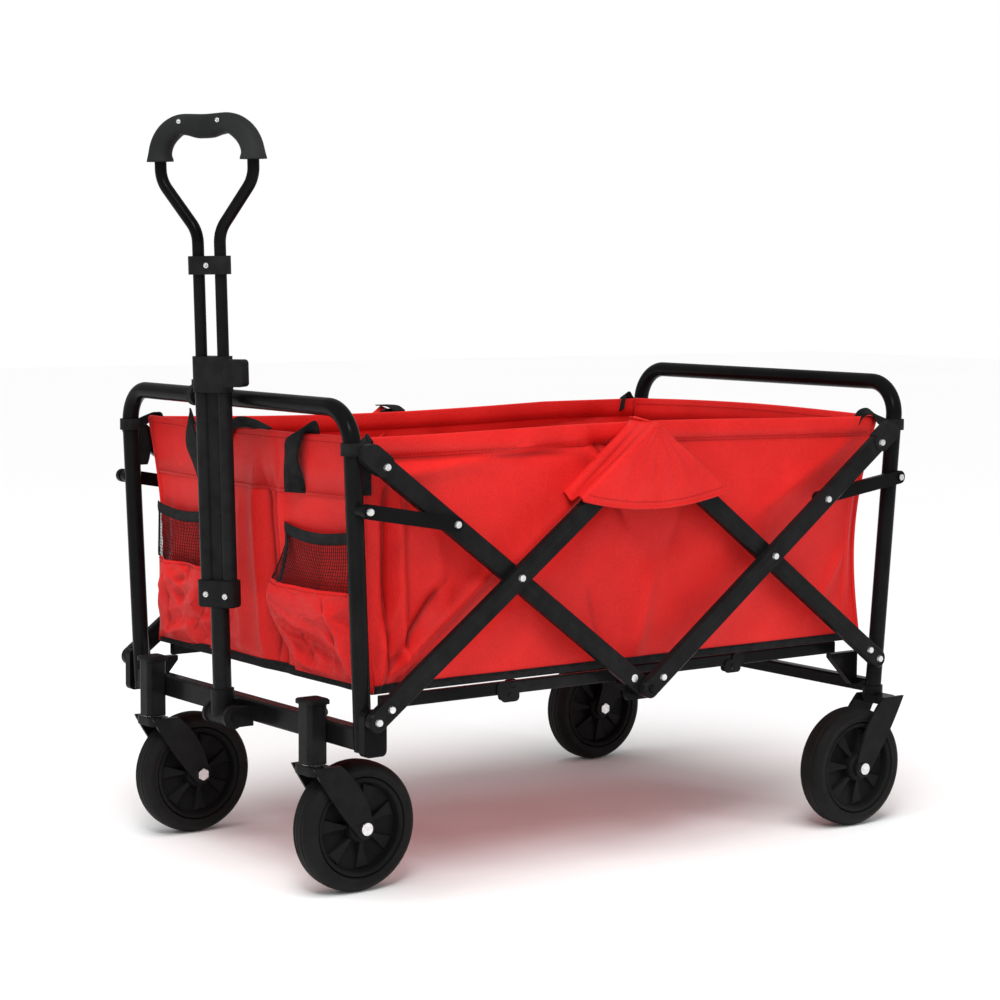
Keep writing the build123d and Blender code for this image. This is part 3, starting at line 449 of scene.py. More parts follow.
# ---- tub walls
corner_pull = 0.014  # how far a wall's corner draws in half-way up
wall_length = rear_foot_x - front_foot_x
side_folds = {
    # places are shares of the wall's length and height, widths and heights are in metres
    -1: ((0.01, 0.02, 0.22, 0.46, 0.009, 0.0130), (0.01, 0.00, 0.13, 0.42, 0.007, -0.0110),
         (0.005, 0.0, 0.050, 0.40, 0.006, 0.0100), (0.02, 0.00, 0.27, 0.36, 0.011, -0.0090),
         (0.24, 0.44, 0.45, 0.88, 0.015, 0.0110), (0.30, 0.42, 0.47, 0.80, 0.012, -0.0080),
         (0.03, 0.84, 0.30, 0.94, 0.012, 0.0085), (0.03, 0.92, 0.36, 0.90, 0.008, -0.0065),
         (0.033, 0.12, 0.036, 0.80, 0.0050, -0.0160), (0.056, 0.08, 0.054, 0.80, 0.006, 0.0110),
         (0.13, 0.30, 0.11, 0.66, 0.013, 0.0065), (0.37, 0.97, 0.46, 0.72, 0.009, 0.0090),
         (0.33, 0.96, 0.47, 0.90, 0.007, -0.0060), (0.41, 0.98, 0.47, 0.60, 0.008, -0.0065),
         (0.50, 0.04, 0.52, 0.40, 0.015, 0.0090), (0.44, 0.03, 0.40, 0.34, 0.013, -0.0060),
         (0.62, 0.05, 0.78, 0.40, 0.018, 0.0050), (0.56, 0.45, 0.62, 0.80, 0.016, -0.0040),
         (0.74, 0.60, 0.95, 0.90, 0.018, 0.0055), (0.88, 0.10, 0.96, 0.42, 0.012, 0.0050),
         (0.97, 0.15, 0.975, 0.75, 0.006, 0.0040)),
    1: ((0.03, 0.05, 0.20, 0.42, 0.010, 0.0050), (0.28, 0.46, 0.46, 0.90, 0.016, 0.0050),
        (0.55, 0.90, 0.75, 0.50, 0.016, 0.0050), (0.80, 0.40, 0.96, 0.06, 0.012, 0.0050),
        (0.08, 0.92, 0.42, 0.84, 0.010, 0.0040), (0.58, 0.82, 0.94, 0.93, 0.010, 0.0040),
        (0.48, 0.08, 0.50, 0.60, 0.018, -0.0040)),
}


def side_bulge(side, u, t):
    x, z = u * wall_length, t * tub_height
    out = 0.0075 * math.sin(math.pi * u) ** 0.8 * math.sin(math.pi * min(1, t * 1.04)) ** 0.8
    out += folded(x, z, side_folds[side], wall_length, tub_height)
    out += 0.0030 * noise.noise(Vector((x * 9, z * 7, side * 3)))
    out += 0.0007 * noise.noise(Vector((x * 34, z * 26, side * 5)))
    near_corner = math.exp(-u / 0.07) + math.exp(-(1 - u) / 0.05)
    out -= corner_pull * near_corner * math.sin(math.pi * t)
    return out * (1 - 0.55 * smooth((t - 0.93) / 0.07)) * smooth(t / 0.05 + 0.35)


def side_point(side, u, t, proud=0.0):
    x = mix(mix(front_foot_x, front_top_x, t), mix(rear_foot_x, rear_top_x, t), u)
    pull = math.sin(math.pi * t)
    x += 0.006 * pull * math.exp(-u / 0.03) - 0.012 * pull * math.exp(-(1 - u) / 0.04)
    near_lift = 0.006 * math.sin(math.pi * u) ** 2
    far_sag = 0.008 * math.sin(math.pi * min(1, u * 1.2 + 0.05))
    lift = near_lift if side < 0 else -far_sag
    z = tub_floor + t * tub_height + lift * t ** 3
    return Vector((x, side * (wall_y + side_bulge(side, u, t) + proud), z))


# places are metres across from the middle and shares of the height
front_fold_rows = (
    (-0.064, 0.02, -0.052, 0.80, 0.009, -0.011), (-0.044, 0.05, -0.034, 0.80, 0.009, -0.012),
    (-0.084, 0.02, -0.072, 0.78, 0.009, 0.005), (-0.018, 0.04, -0.012, 0.78, 0.010, 0.007),
    (0.03, 0.05, 0.02, 0.70, 0.018, 0.009),
    (-0.24, 0.08, -0.225, 0.70, 0.010, 0.004), (0.235, 0.10, 0.21, 0.60, 0.012, 0.005),
    (-0.16, 0.80, -0.13, 0.98, 0.012, 0.003), (0.20, 0.78, 0.10, 0.96, 0.012, 0.003),
    (-0.075, 0.78, -0.07, 0.99, 0.006, -0.003), (-0.02, 0.02, 0.10, 0.16, 0.012, 0.004),
    (0.08, 0.10, 0.16, 0.02, 0.010, 0.004),
)
rear_fold_rows = (
    (-0.2, 0.9, 0.2, 0.84, 0.012, 0.003), (-0.22, 0.1, -0.1, 0.5, 0.02, 0.004),
    (0.22, 0.1, 0.1, 0.5, 0.02, 0.004), (0.0, 0.1, 0.01, 0.7, 0.02, 0.004),
)


def front_folds(y, t):
    z = t * tub_height
    broad = 0.0020 * noise.noise(Vector((y * 10, z * 11, 4)))
    fine = 0.0008 * noise.noise(Vector((y * 30, z * 33, 9)))
    return folded(y, z, front_fold_rows, 1.0, tub_height) + broad + fine


def across_end(u, t):
    """How far across an end wall a place is; the wall is drawn in half-way up."""
    return mix(-1, 1, u) * (wall_y - corner_pull * math.sin(math.pi * t))


def front_point(u, t, proud=0.0):
    """The front wall, from the near side to the far side. Proud is towards the handle."""
    y = across_end(u, t)
    edge = math.sin(math.pi * u)
    out = (0.004 * edge * math.sin(math.pi * t) + front_folds(y, t)) * min(1, edge * 4)
    x = mix(front_foot_x, front_top_x, t) + 0.006 * math.sin(math.pi * t) * (1 - edge)
    x -= cloth / 2 + out + proud
    z = tub_floor + t * tub_height - 0.003 * edge * t ** 4
    return Vector((x, y, z))


def rear_point(u, t, proud=0.0):
    """The rear wall, from the near side to the far side. Proud is towards the tail."""
    y = across_end(u, t)
    edge = math.sin(math.pi * u)
    folds = 0.0018 * noise.noise(Vector((y * 9, t * 4, 11)))
    folds += 0.0008 * noise.noise(Vector((y * 28, t * 11, 15)))
    folds += folded(y, t * tub_height, rear_fold_rows, 1.0, tub_height)
    out = (0.005 * edge * math.sin(math.pi * t) + folds) * min(1, edge * 4)
    x = mix(rear_foot_x, rear_top_x, t) - 0.012 * math.sin(math.pi * t) * (1 - edge)
    x += cloth / 2 + out + proud
    z = tub_floor + t * tub_height + 0.005 * edge * t ** 3
    return Vector((x, y, z))


fold_anchor = (mix(front_foot_x, front_top_x, 0.5), 0, 0)


def fold_along(piece):
    """A soft piece of the tub's length: it rides on the front frame, with a mesh of its own."""
    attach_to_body(piece, "front_frame")
    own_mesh(piece)
    return piece


sheet_skin = 0.0014
for side, side_name in sides:
    wall = surface(f"cloth_side_{side_name}", lambda u, v: side_point(side, u, v), (210, 76),
                   (wall_length, tub_height), red_cloth, sheet_skin)
    fold_along(wall)
    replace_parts(wall, f"side_wall_{side_name}")
end_size = (2 * wall_y, tub_height)
front_cloth = surface("cloth_front", front_point, (130, 76), end_size, red_cloth, sheet_skin)
rear_cloth = surface("cloth_rear", rear_point, (72, 44), end_size, red_cloth, sheet_skin)
for end_cloth, end in ((front_cloth, "front"), (rear_cloth, "rear")):
    mount(end_cloth, f"{end}_frame")
    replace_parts(end_cloth, f"{end}_wall")
ends = (("front", front_point, "front_frame", -1), ("rear", rear_point, "rear_frame", 1))


# ---- hems, bindings and stitches on the tub
def edge_channel(name, point, edge, inward, cells, material, depth=0.009, gap=0.0016, thickness=0.0008):
    """A tape folded over a sheet's edge: edge is the v of the edge, inward its direction in v."""
    reach = inward * depth / tub_height

    def channel(u, v):
        turn = v * 4
        if turn <= 1:
            return point(u, edge + reach * (1 - turn), gap)
        if turn >= 3:
            return point(u, edge + reach * (turn - 3), -gap)
        mid = point(u, edge, gap * math.cos((turn - 1) / 2 * math.pi))
        mid.z -= inward * gap * math.sin((turn - 1) / 2 * math.pi)
        return mid

    return surface(name, channel, (cells, 8), (wall_length, 2 * depth), material, thickness, 0)


hem_height = 0.024
front_band = 0.075  # depth of the front wall's turned-over top band
rear_hem = 0.03


def sew(name, point, rows, proud, out, attach):
    """Rows of stitches along a wall, on both of its faces. A row has a name, a height and a thread."""
    for row_name, height, thread in rows:
        for face, way in (("out", 1), ("in", -1)):
            def path(s):
                return point(0.01 + 0.98 * s, height / tub_height, way * proud)

            attach(stitches(f"stitches_{name}_{row_name}_{face}", path, out * way, thread))


for side, side_name in sides:
    def wall_place(u, v, proud=0.0):
        return side_point(side, u, v, proud)

    binding = edge_channel(f"binding_side_{side_name}", wall_place, 0.0, 1, 120, black_tape)
    fold_along(binding)
    hem = edge_channel(f"hem_side_{side_name}", wall_place, 1.0, -1, 120, red_cloth, hem_height, 0.0018)
    fold_along(hem)
    rows = (("hem", tub_height - hem_height + 0.003, red_thread), ("foot", 0.007, black_thread))
    sew(f"side_{side_name}", wall_place, rows, 0.0026, Vector((0, side, 0)), fold_along)

for end, point, body, out in ends:
    depth, foot_depth = (front_band, 0.011) if end == "front" else (rear_hem, 0.009)
    binding = edge_channel(f"binding_{end}", point, 0.0, 1, 72, black_tape, foot_depth, 0.0018)
    mount(binding, body)
    mount(edge_channel(f"hem_{end}", point, 1.0, -1, 72, red_cloth, depth, 0.0021), body)
    rows = (("band", tub_height - depth + 0.004, red_thread), ("edge", tub_height - 0.006, red_thread),
            ("foot", 0.008, black_thread))
    sew(end, point, rows, 0.0030, Vector((out, 0, 0)), lambda piece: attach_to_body(piece, body))


# ---- corner seams
def corner_seam(name, end_point, u, outward):
    """A rounded piped seam where an end wall meets a side wall."""
    path = [end_point(u, i / 30) + outward * 0.0012 for i in range(31)]
    return round_bar(name, path, 0.0026, red_cloth, 8, Vector((1, 0, 0)))


for side, side_name in sides:
    for end, point, body, out in ends:
        outward = Vector((out * 0.6, side * 0.8, 0))
        mount(corner_seam(f"seam_{end}_{side_name}", point, (side + 1) / 2, outward), body)

# ---- fan flaps over the upper hubs
flap_half = (flap_high.x - flap_low.x) / 2
flap_tip_z = flap_low.z + 0.015
flap_roof_z = flap_high.z + 0.001
flap_skin_y = -flap_low.y - cloth / 2
# the far flap lies closer over its hub
flap_drop = max(0.0, flap_roof_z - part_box("upper_hubs")[1].z - 0.0022)


def flap_face(a, r):
    """The flap's front face: a runs from tip to tip, r from the apex down to the curved hem."""
    low_z = flap_low.z + 0.0015 + (flap_tip_z - flap_low.z) * a * a
    x = hub_x + a * flap_half * r
    z = mix(flap_roof_z, low_z, r)
    billow = 0.0030 * math.sin(math.pi * r) * (1 - a * a)
    pleats = ((0.10, 0.12, 0.0018), (-0.30, 0.14, 0.0016), (0.45, 0.15, 0.0012), (-0.72, 0.10, 0.0012))
    pleat = sum(height * math.exp(-abs((a - middle) / width) ** 1.6) for middle, width, height in pleats)
    pleat *= smooth(r * 1.4)
    ripple = 0.0012 * noise.noise(Vector((a * 5, r * 4, 6)))
    return x, flap_skin_y - 0.0014 + billow * 0.6 + pleat + ripple, z


def flap_point(side, u, r):
    """The whole flap: a gusset back to the wall on each side of the front face."""
    gusset = 0.22
    if u < gusset or u > 1 - gusset:
        a = -1 if u < gusset else 1
        share = u / gusset if u < gusset else (1 - u) / gusset  # 0 at the wall, 1 at the flap's edge
        x, y, z = flap_face(a, r)
        crease = 0.004 * math.sin(3 * math.pi * share) * r
        crease += 0.003 * math.sin(5 * math.pi * share + a) * math.sin(math.pi * r)
        wall_x = x - a * 0.004
        wall_z = z + (0.006 if side < 0 else -0.012) - 0.003 * r
        y = mix(wall_y + 0.002, y, share)
        z = mix(wall_z, z, share) + crease - flap_drop * (side > 0) * (1 - r)
        return Vector((mix(wall_x, x, share), side * y, z))
    a = (u - gusset) / (1 - 2 * gusset) * 2 - 1
    x, y, z = flap_face(a, r)
    return Vector((x, side * y, z - flap_drop * (side > 0) * (1 - r)))


for side, side_name in sides:
    flap = surface(f"cloth_flap_{side_name}", lambda u, v: flap_point(side, u, v), (100, 40), (0.33, 0.11),
                   red_cloth, 0.0013)
    mount(flap, "upper_hub")
    if side < 0:
        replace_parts(flap, "hub_flaps")

    def flap_hem_path(s, inset=0.0):
        x, y, z = flap_face(2 * s - 1, 1 - inset)
        return Vector((x, side * (y + 0.0004), z))

    hem_path = [flap_hem_path(i / 40) for i in range(41)]
    mount(round_bar(f"flap_hem_{side_name}", hem_path, 0.0019, red_cloth, 8), "upper_hub")

    def flap_seam(s):
        return flap_hem_path(s, 0.07) + Vector((0, side * 0.0008, 0))

    row = stitches(f"stitches_flap_{side_name}", flap_seam, Vector((0, side, 0)), red_thread)
    mount(row, "upper_hub")

# ---- front pockets
pocket_outer = 0.254
pocket_mouth = 0.088
pocket_foot = 0.032
mesh_foot = 0.60  # share of the pocket's height where the netting meets the pouch
pocket_width, pocket_height = 0.20, 0.19  # about the size of a pocket, for its folds
wall_slope = (front_foot_x - front_top_x) / tub_height
# places are shares of the pocket's width and height
pocket_fold_rows = (
    (0.08, 0.56, 0.75, 0.40, 0.008, 0.0060), (0.15, 0.44, 0.85, 0.20, 0.010, 0.0055),
    (0.5, 0.58, 0.95, 0.34, 0.007, 0.0045), (0.04, 0.30, 0.55, 0.10, 0.010, 0.0045),
    (0.75, 0.55, 0.8, 0.1, 0.007, -0.0045), (0.3, 0.5, 0.35, 0.1, 0.008, -0.0040),
)


def front_face_x(z):
    return front_foot_x - cloth - wall_slope * (z - tub_floor)


def pocket_inner(t):
    """How far in a pocket's inner edge reaches: it is widest under the net."""
    low, wide, mouth, widest = pocket_foot + 0.062, pocket_foot + 0.004, pocket_mouth - 0.004, 0.42
    if t < widest:
        return mix(low, wide, smooth(t / widest))
    return mix(wide, mouth, smooth((t - widest) / 0.50))


def pocket_point(side, s, t):
    """A pocket's face: s runs from its inner edge to its outer one, t from its foot to its mouth."""
    z = mix(pocket_low.z + 0.001, pocket_high.z, t)
    z -= 0.007 * math.sin(math.pi * s) * smooth((t - 0.5) / 0.4)
    y = mix(pocket_inner(t), pocket_outer - 0.013 * t, s)
    belly = math.sin(math.pi * min(1, max(0, s * 1.02))) ** 0.45
    lip = math.exp(-((t - 0.50) / 0.13) ** 2)
    slant = smooth((t - (0.30 - 0.28 * s)) / 0.22)
    rise = mix(0.30, 1.0, slant) * smooth(t / 0.12) * (1 - 0.62 * smooth((t - 0.55) / 0.42))
    puff = 0.0150 * belly * rise + 0.0050 * belly * lip
    folds = 0.0105 * crumple(y + side, z, 3)
    folds += folded(s * pocket_width, t * pocket_height, pocket_fold_rows, pocket_width, pocket_height)
    quiet = 1 - 0.85 * smooth((t - mesh_foot + 0.04) / 0.10)
    out = puff + folds * quiet * min(1, 6 * s, 6 * (1 - s)) * smooth(t / 0.06)
    deepest = 0.0265
    out = min(out, deepest - 0.002 * math.exp(-max(0, out - deepest) * 300))
    return Vector((front_face_x(z) - 0.0025 - max(0, out), side * y, z))


def net(name, side):
    """Knotted netting over the top of a pocket: a fine lattice of threads with open cells."""
    piece = surface(name, lambda u, v: pocket_point(side, u, mix(mesh_foot - 0.01, 0.985, v)), (40, 17),
                    (0.17, 0.075), black_net)
    wire = piece.modifiers.new("threads", "WIREFRAME")
    wire.thickness, wire.use_even_offset, wire.use_replace = 0.0009, False, True
    return piece


for side, side_name in sides:
    pouch = surface(f"pouch_{side_name}", lambda u, v: pocket_point(side, u, mesh_foot * v), (96, 66),
                    (pocket_width, 0.115), red_pouch, 0.0012)
    mount(pouch, "front_frame")
    if side < 0:
        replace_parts(pouch, "front_pockets")
    mesh_piece = mount(net(f"netting_{side_name}", side), "front_frame")

    def trim(name, path, width):
        """A flat tape along a path of the pocket's own s and t."""
        upright = name != "mouth"

        def tape(u, v):
            s, t = path(u)
            step = (v - 0.5) * width / pocket_height
            s, t = (s + step, t) if upright else (s, t + step)
            place = pocket_point(side, min(1, max(0, s)), min(1, max(0, t)))
            place.x -= 0.0016 - 0.0008 * abs(2 * v - 1)
            return place

        piece = surface(f"pocket_{name}_{side_name}", tape, (40, 4), (0.19, width), black_tape, 0.0011, 0)
        mount(piece, "front_frame")

    def inner_tape(u):
        t = mix(mesh_foot, 0.98, u)
        reach = pocket_inner(t)
        return (pocket_mouth + 0.001 - reach) / (pocket_outer - reach) + 0.02, t

    def pouch_seam(s):
        return pocket_point(side, 0.03 + 0.94 * s, mesh_foot - 0.02) - Vector((0.0014, 0, 0))

    trim("mouth", lambda u: (u, 0.955), 0.014)
    trim("inner", inner_tape, 0.009)
    trim("outer", lambda u: (0.965, mix(mesh_foot, 0.98, u)), 0.010)
    seam_row = stitches(f"stitches_pocket_{side_name}", pouch_seam, Vector((-1, 0, 0)), red_thread)
    mount(seam_row, "front_frame")


# ---- webbing loops and corner straps
def along(stops, s):
    """A smooth place on a line through a few stops, for s from 0 to 1."""
    place = s * (len(stops) - 1)
    k = min(int(place), len(stops) - 2)
    t = place - k
    p = [Vector(stops[min(max(k + i, 0), len(stops) - 1)]) for i in (-1, 0, 1, 2)]
    return 0.5 * (2 * p[1] + (p[2] - p[0]) * t + (2 * p[0] - 5 * p[1] + 4 * p[2] - p[3]) * t * t
                  + (3 * p[1] - p[0] - 3 * p[2] + p[3]) * t ** 3)


def strap(name, body, stops, spreads, width, count=48):
    """A tape through a few stops, turned so that its width lies along the spreads."""
    def place(u, v):
        return along(stops, u) + along(spreads, u).normalized() * ((v - 0.5) * width)

    return mount(surface(name, place, (count, 4), (0.2, width), black_tape, 0.0016, 0), body)


# a tape tab over the far flap's ridge
ridge_z = flap_roof_z - flap_drop + 0.0012
strap("flap_tab_far", "upper_hub",
      [(hub_x, wall_y + 0.006, ridge_z - 0.006), (hub_x, wall_y + 0.024, ridge_z),
       (hub_x, flap_skin_y - 0.002, ridge_z)],
      [(1, 0, 0)] * 3, 0.020, 12)

# webbing loops on the front wall's band
hem_line = tub_top - front_band
rim_x, hem_x = front_face_x(tub_top), front_face_x(hem_line)
for side, side_name in sides:
    stops = [(rim_x + 0.009, side * 0.156, tub_top - 0.014), (rim_x + 0.003, side * 0.148, tub_top + 0.0065),
             (rim_x - 0.009, side * 0.130, tub_top + 0.001), (rim_x - 0.012, side * 0.122, tub_top - 0.028),
             (hem_x - 0.011, side * 0.120, hem_line + 0.020),
             (hem_x - 0.0075, side * 0.119, hem_line + 0.001)]
    spreads = [(0.35, 0.45, side * 0.75), (0.2, 0.75, side * 0.60), (0.28 * side, 0.85, side * 0.40),
               (-0.05 * side, 0.95, 0.1 * side), (0.25 * side, 0.93, 0.0), (0.40 * side, 0.90, 0.0)]
    loop = strap(f"webbing_loop_{side_name}", "front_frame", stops, spreads, 0.032)
    if side < 0:
        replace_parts(loop, "front_loops")

# a strap that lies over the front wall's top edge, beside the handle
strap("rim_strap", "front_frame",
      [(rim_x - 0.004, 0.050, tub_top - 0.018), (rim_x - 0.003, 0.030, tub_top + 0.003),
       (rim_x + 0.004, 0.004, tub_top + 0.0055), (rim_x + 0.010, -0.030, tub_top - 0.002)],
      [(0, 0.9, 0.4), (0.3, 0.4, 0.8), (0.7, 0.3, 0.5), (0.9, 0.2, 0.2)], 0.017, 24)


def corner_strap(name, end_point, out, side, body, post_line, rise, reach):
    """A tape that hooks over a wall's top corner and goes on to a band round the post."""
    x, y, z = end_point(0.0 if side < 0 else 1.0, 1.0)
    line_x, lean = post_line
    post = Vector((line_x + lean * (z - 0.010 - 0.23), side * post_y, z - 0.010))
    stops = [(x - out * 0.034 * reach, y - side * 0.006, z - 0.016),
             (x - out * 0.027 * reach, y - side * 0.002, z + 0.45 * rise),
             (x - out * 0.014 * reach, y + side * 0.003, z + rise),
             (x - out * 0.002, y + side * 0.006, z - 0.002),
             (post.x - out * (post_radius + 0.0015), post.y - side * 0.001, post.z)]
    spreads = [(out * 0.25, side * -0.75, 0.5), (0.1, side * -0.85, 0.45), (0.05, side * -0.8, 0.55),
               (0.0, side * -0.45, 0.85), (0, 0, 1)]
    strap(f"corner_strap_{name}", body, stops, spreads, 0.015, 30)
    band_radius = post_radius + 0.0016

    def band(u, v):
        a = 2 * math.pi * u
        return post + Vector((math.cos(a) * band_radius, math.sin(a) * band_radius, (v - 0.5) * 0.015))

    wrap = surface(f"post_band_{name}", band, (28, 4), (0.08, 0.015), black_tape, 0.0014, 0)
    mount(wrap, body)


# each post line is an x near the floor and a lean
front_lean = (front_top_x - front_foot_x) / tub_height
front_posts = (front_line, front_lean)
rear_posts = (rear_foot_x + 0.025, (rear_top_x - rear_foot_x) / tub_height)
tail_x = front_line + front_lean * 0.29 + post_radius
for side, side_name in sides:
    corner_strap(f"rear_{side_name}", rear_point, 1, side, "rear_frame", rear_posts, 0.0085, 1.0)
    corner_strap(f"front_{side_name}", front_point, -1, side, "front_frame", front_posts, 0.0015, 0.45)
    stops = [(tail_x + 0.001, side * (post_y - 0.004), tub_top - 0.014),
             (tail_x + 0.006, side * (post_y - 0.003), tub_top - 0.030),
             (tail_x + 0.007, side * (post_y - 0.001), tub_top - 0.048),
             (tail_x + 0.005, side * (post_y - 0.002), tub_top - 0.066)]
    spreads = [(0.9, 0.3 * side, 0.3), (0.95, 0.2 * side, 0.1), (0.95, -0.2 * side, 0.0),
               (0.9, 0.3 * side, 0.0)]
    strap(f"corner_tail_{side_name}", "front_frame", stops, spreads, 0.020, 24)

# ---- padded floor
floor_panels = 4


def floor_top(u, v):
    x = mix(floor_low.x + 0.0003, floor_high.x - 0.0003, u)
    y = mix(floor_low.y + 0.0003, floor_high.y - 0.0003, v)
    panel = u * floor_panels
    seam = abs(panel - round(panel)) / floor_panels * (floor_high.x - floor_low.x)
    rim = min(u * wall_length, (1 - u) * wall_length, v * 0.5, (1 - v) * 0.5)
    crown = 0.0045 * (1 - math.exp(-(seam / 0.016) ** 1.3)) + 0.002 * math.sin(math.pi * v)
    ripple = 0.0007 * noise.noise(Vector((x * 20, y * 20, 2)))
    z = floor_high.z - 0.0062 + crown * smooth(rim / 0.012) + ripple - 0.003 * (1 - smooth(rim / 0.010))
    return x, y, z


def build_floor():
    columns, rows = 112, 56
    points, uvs = [], []
    for level in (1, 0):
        for j in range(rows + 1):
            for i in range(columns + 1):
                x, y, z = floor_top(i / columns, j / rows)
                underside = floor_low.z + 0.0005 + 0.0006 * noise.noise(Vector((x * 9, y * 9, 1)))
                points.append((x, y, z if level else underside))
                uvs.append((x, y))
    layer = (rows + 1) * (columns + 1)
    top = grid_faces(columns, rows)
    faces = top + [tuple(layer + corner for corner in reversed(face)) for face in top]
    rim = list(range(columns + 1))
    rim += [j * (columns + 1) + columns for j in range(1, rows + 1)]
    rim += [rows * (columns + 1) + i for i in range(columns - 1, -1, -1)]
    rim += [j * (columns + 1) for j in range(rows - 1, 0, -1)]
    for a, b in zip(rim, rim[1:] + rim[:1]):
        faces.append((b, a, layer + a, layer + b))
    return make_object("floor_cushion", points, faces, uvs, red_lining)


floor_cushion = build_floor()
fold_along(floor_cushion)
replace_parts(floor_cushion, "floor_pad")
for seam_index in range(1, floor_panels):
    for shift_name, shift in (("a", -0.004), ("b", 0.004)):
        def seam_path(s):
            u = seam_index / floor_panels + shift / (floor_high.x - floor_low.x)
            return Vector(floor_top(u, 0.02 + 0.96 * s)) + Vector((0, 0, 0.0004))
        row = stitches(f"stitches_floor_{seam_index}{shift_name}", seam_path, Vector((0, 0, 1)), red_thread)
        fold_along(row)


# ---- wheels
def wheel(axle, side_name, body):
    low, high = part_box(f"tyre_{axle}_{side_name}")
    centre = (low + high) / 2
    radius, half = (high.z - low.z) / 2, (high.y - low.y) / 2
    rim = 0.0618
    section = [(rim, -half + 0.0022), (rim + 0.0030, -half + 0.0004), (rim + 0.0052, -half + 0.0020),
               (rim + 0.0072, -half + 0.0007), (radius - 0.0085, -half + 0.0010),
               (radius - 0.0040, -half + 0.0042), (radius - 0.0012, -half + 0.0092)]
    tread = [(radius - 0.0002, -half + 0.0125), (radius - 0.0016, -half + 0.0134),
             (radius - 0.0016, -half + 0.0142), (radius, -half + 0.0152), (radius, -0.0008),
             (radius - 0.0012, 0.0)]
    profile = section + tread + [(r, -y) for r, y in reversed(section + tread[:-1])]
    rings = turned(profile, centre, 96)
    tyre = loft(f"tyre_detail_{axle}_{side_name}", rings, tyre_rubber, closed=True, around=0.2)
    smoothing = tyre.modifiers.new("subdivide", "SUBSURF")
    smoothing.levels = smoothing.render_levels = 1
    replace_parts(mount(tyre, body), f"tyre_{axle}_{side_name}")
    hub = wheel_hub(f"hub_detail_{axle}_{side_name}", centre, half, rim)
    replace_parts(mount(hub, body), f"wheel_hub_{axle}_{side_name}")


def wheel_hub(name, centre, half, rim):
    """A moulded hub: a deep rim, a thin web, seven raised blades that widen outwards, and a boss."""
    face = half - 0.004
    profile = [(rim, -half + 0.003), (rim - 0.0035, -half + 0.0024), (rim - 0.0060, -half + 0.0045),
               (rim - 0.0085, -0.006), (0.0195, -0.0040), (0.0185, -face), (0.0165, -half + 0.0002),
               (0.0056, -half + 0.0002)]
    profile += [(r, -y) for r, y in reversed(profile)]
    blades = 7
    # radius, spread and rise of a blade
    blade_shape = ((0.0178, 0.13, 0.0105), (0.034, 0.15, 0.0075), (rim - 0.0072, 0.185, 0.0060))
    built = bmesh.new()
    grid = [[built.verts.new(place) for place in ring] for ring in turned(profile, centre, 12 * blades)]
    for here, there in zip(grid, grid[1:] + grid[:1]):
        for k in range(len(profile)):
            after = (k + 1) % len(profile)
            built.faces.new((here[k], here[after], there[after], there[k]))
    for sign in (-1, 1):
        for blade in range(blades):
            middle = 2 * math.pi * (blade + 0.25 * (sign + 1)) / blades + 0.35
            corners = []
            for r, spread, _ in blade_shape:
                for lean_side in (-1, 1):
                    a = middle + lean_side * spread
                    corners.append((r * math.cos(a), r * math.sin(a)))
            lower = [built.verts.new(centre + Vector((x, sign * 0.003, z))) for x, z in corners]
            shrink = 0.93
            mid = (sum(x for x, _ in corners) / 6, sum(z for _, z in corners) / 6)
            upper = []
            for index, (x, z) in enumerate(corners):
                x, z = mid[0] + (x - mid[0]) * shrink, mid[1] + (z - mid[1]) * shrink
                rise = blade_shape[index // 2][2]
                upper.append(built.verts.new(centre + Vector((x, sign * (0.003 + rise), z))))
            outline = (0, 2, 4, 5, 3, 1)
            for p, q in zip(outline, outline[1:] + outline[:1]):
                built.faces.new((lower[p], lower[q], upper[q], upper[p]))
            for face in ((0, 2, 3, 1), (2, 4, 5, 3)):
                built.faces.new([upper[p] for p in face])
                built.faces.new([lower[p] for p in reversed(face)])
    bmesh.ops.recalc_face_normals(built, faces=built.faces)
    mesh = bpy.data.meshes.new(name)
    built.to_mesh(mesh)
    built.free()
    mesh.materials.append(wheel_plastic)
    hub = bpy.data.objects.new(name, mesh)
    scene.collection.objects.link(hub)
    soften = hub.modifiers.new("soften", "BEVEL")
    soften.width, soften.segments = 0.0008, 2
    soften.limit_method, soften.angle_limit = "ANGLE", math.radians(35)
    return hub


for axle, body in (("front", "front_wheel"), ("rear", "rear_wheel")):
    for side, side_name in sides:
        wheel(axle, side_name, f"{body}_{side_name}")

# ---- grip
axis = {j["name"]: Vector(j["axis"]).normalized() for j in frame["joints"] if "axis" in j}
handle_up, latch_axis = axis["handle_slide"], axis["handle_latch_lift"]
loop_depth = latch_axis - handle_up * latch_axis.dot(handle_up)
loop_depth.normalize()
handle_across = handle_up.cross(loop_depth).normalized()
if handle_across.y > 0:
    handle_across.negate()
handle_foot = pivot["handle_pitch"]


def handle_place(a, h, d=0.0):
    """A place on the handle: across the loop, up from the pivot, and out towards the camera's side."""
    return handle_foot + handle_across * a + handle_up * h + loop_depth * d


grip_half = 0.0675
grip_top = 0.7435  # centre line of the loop's top
grip_end = 0.699
grip_corner = 0.040


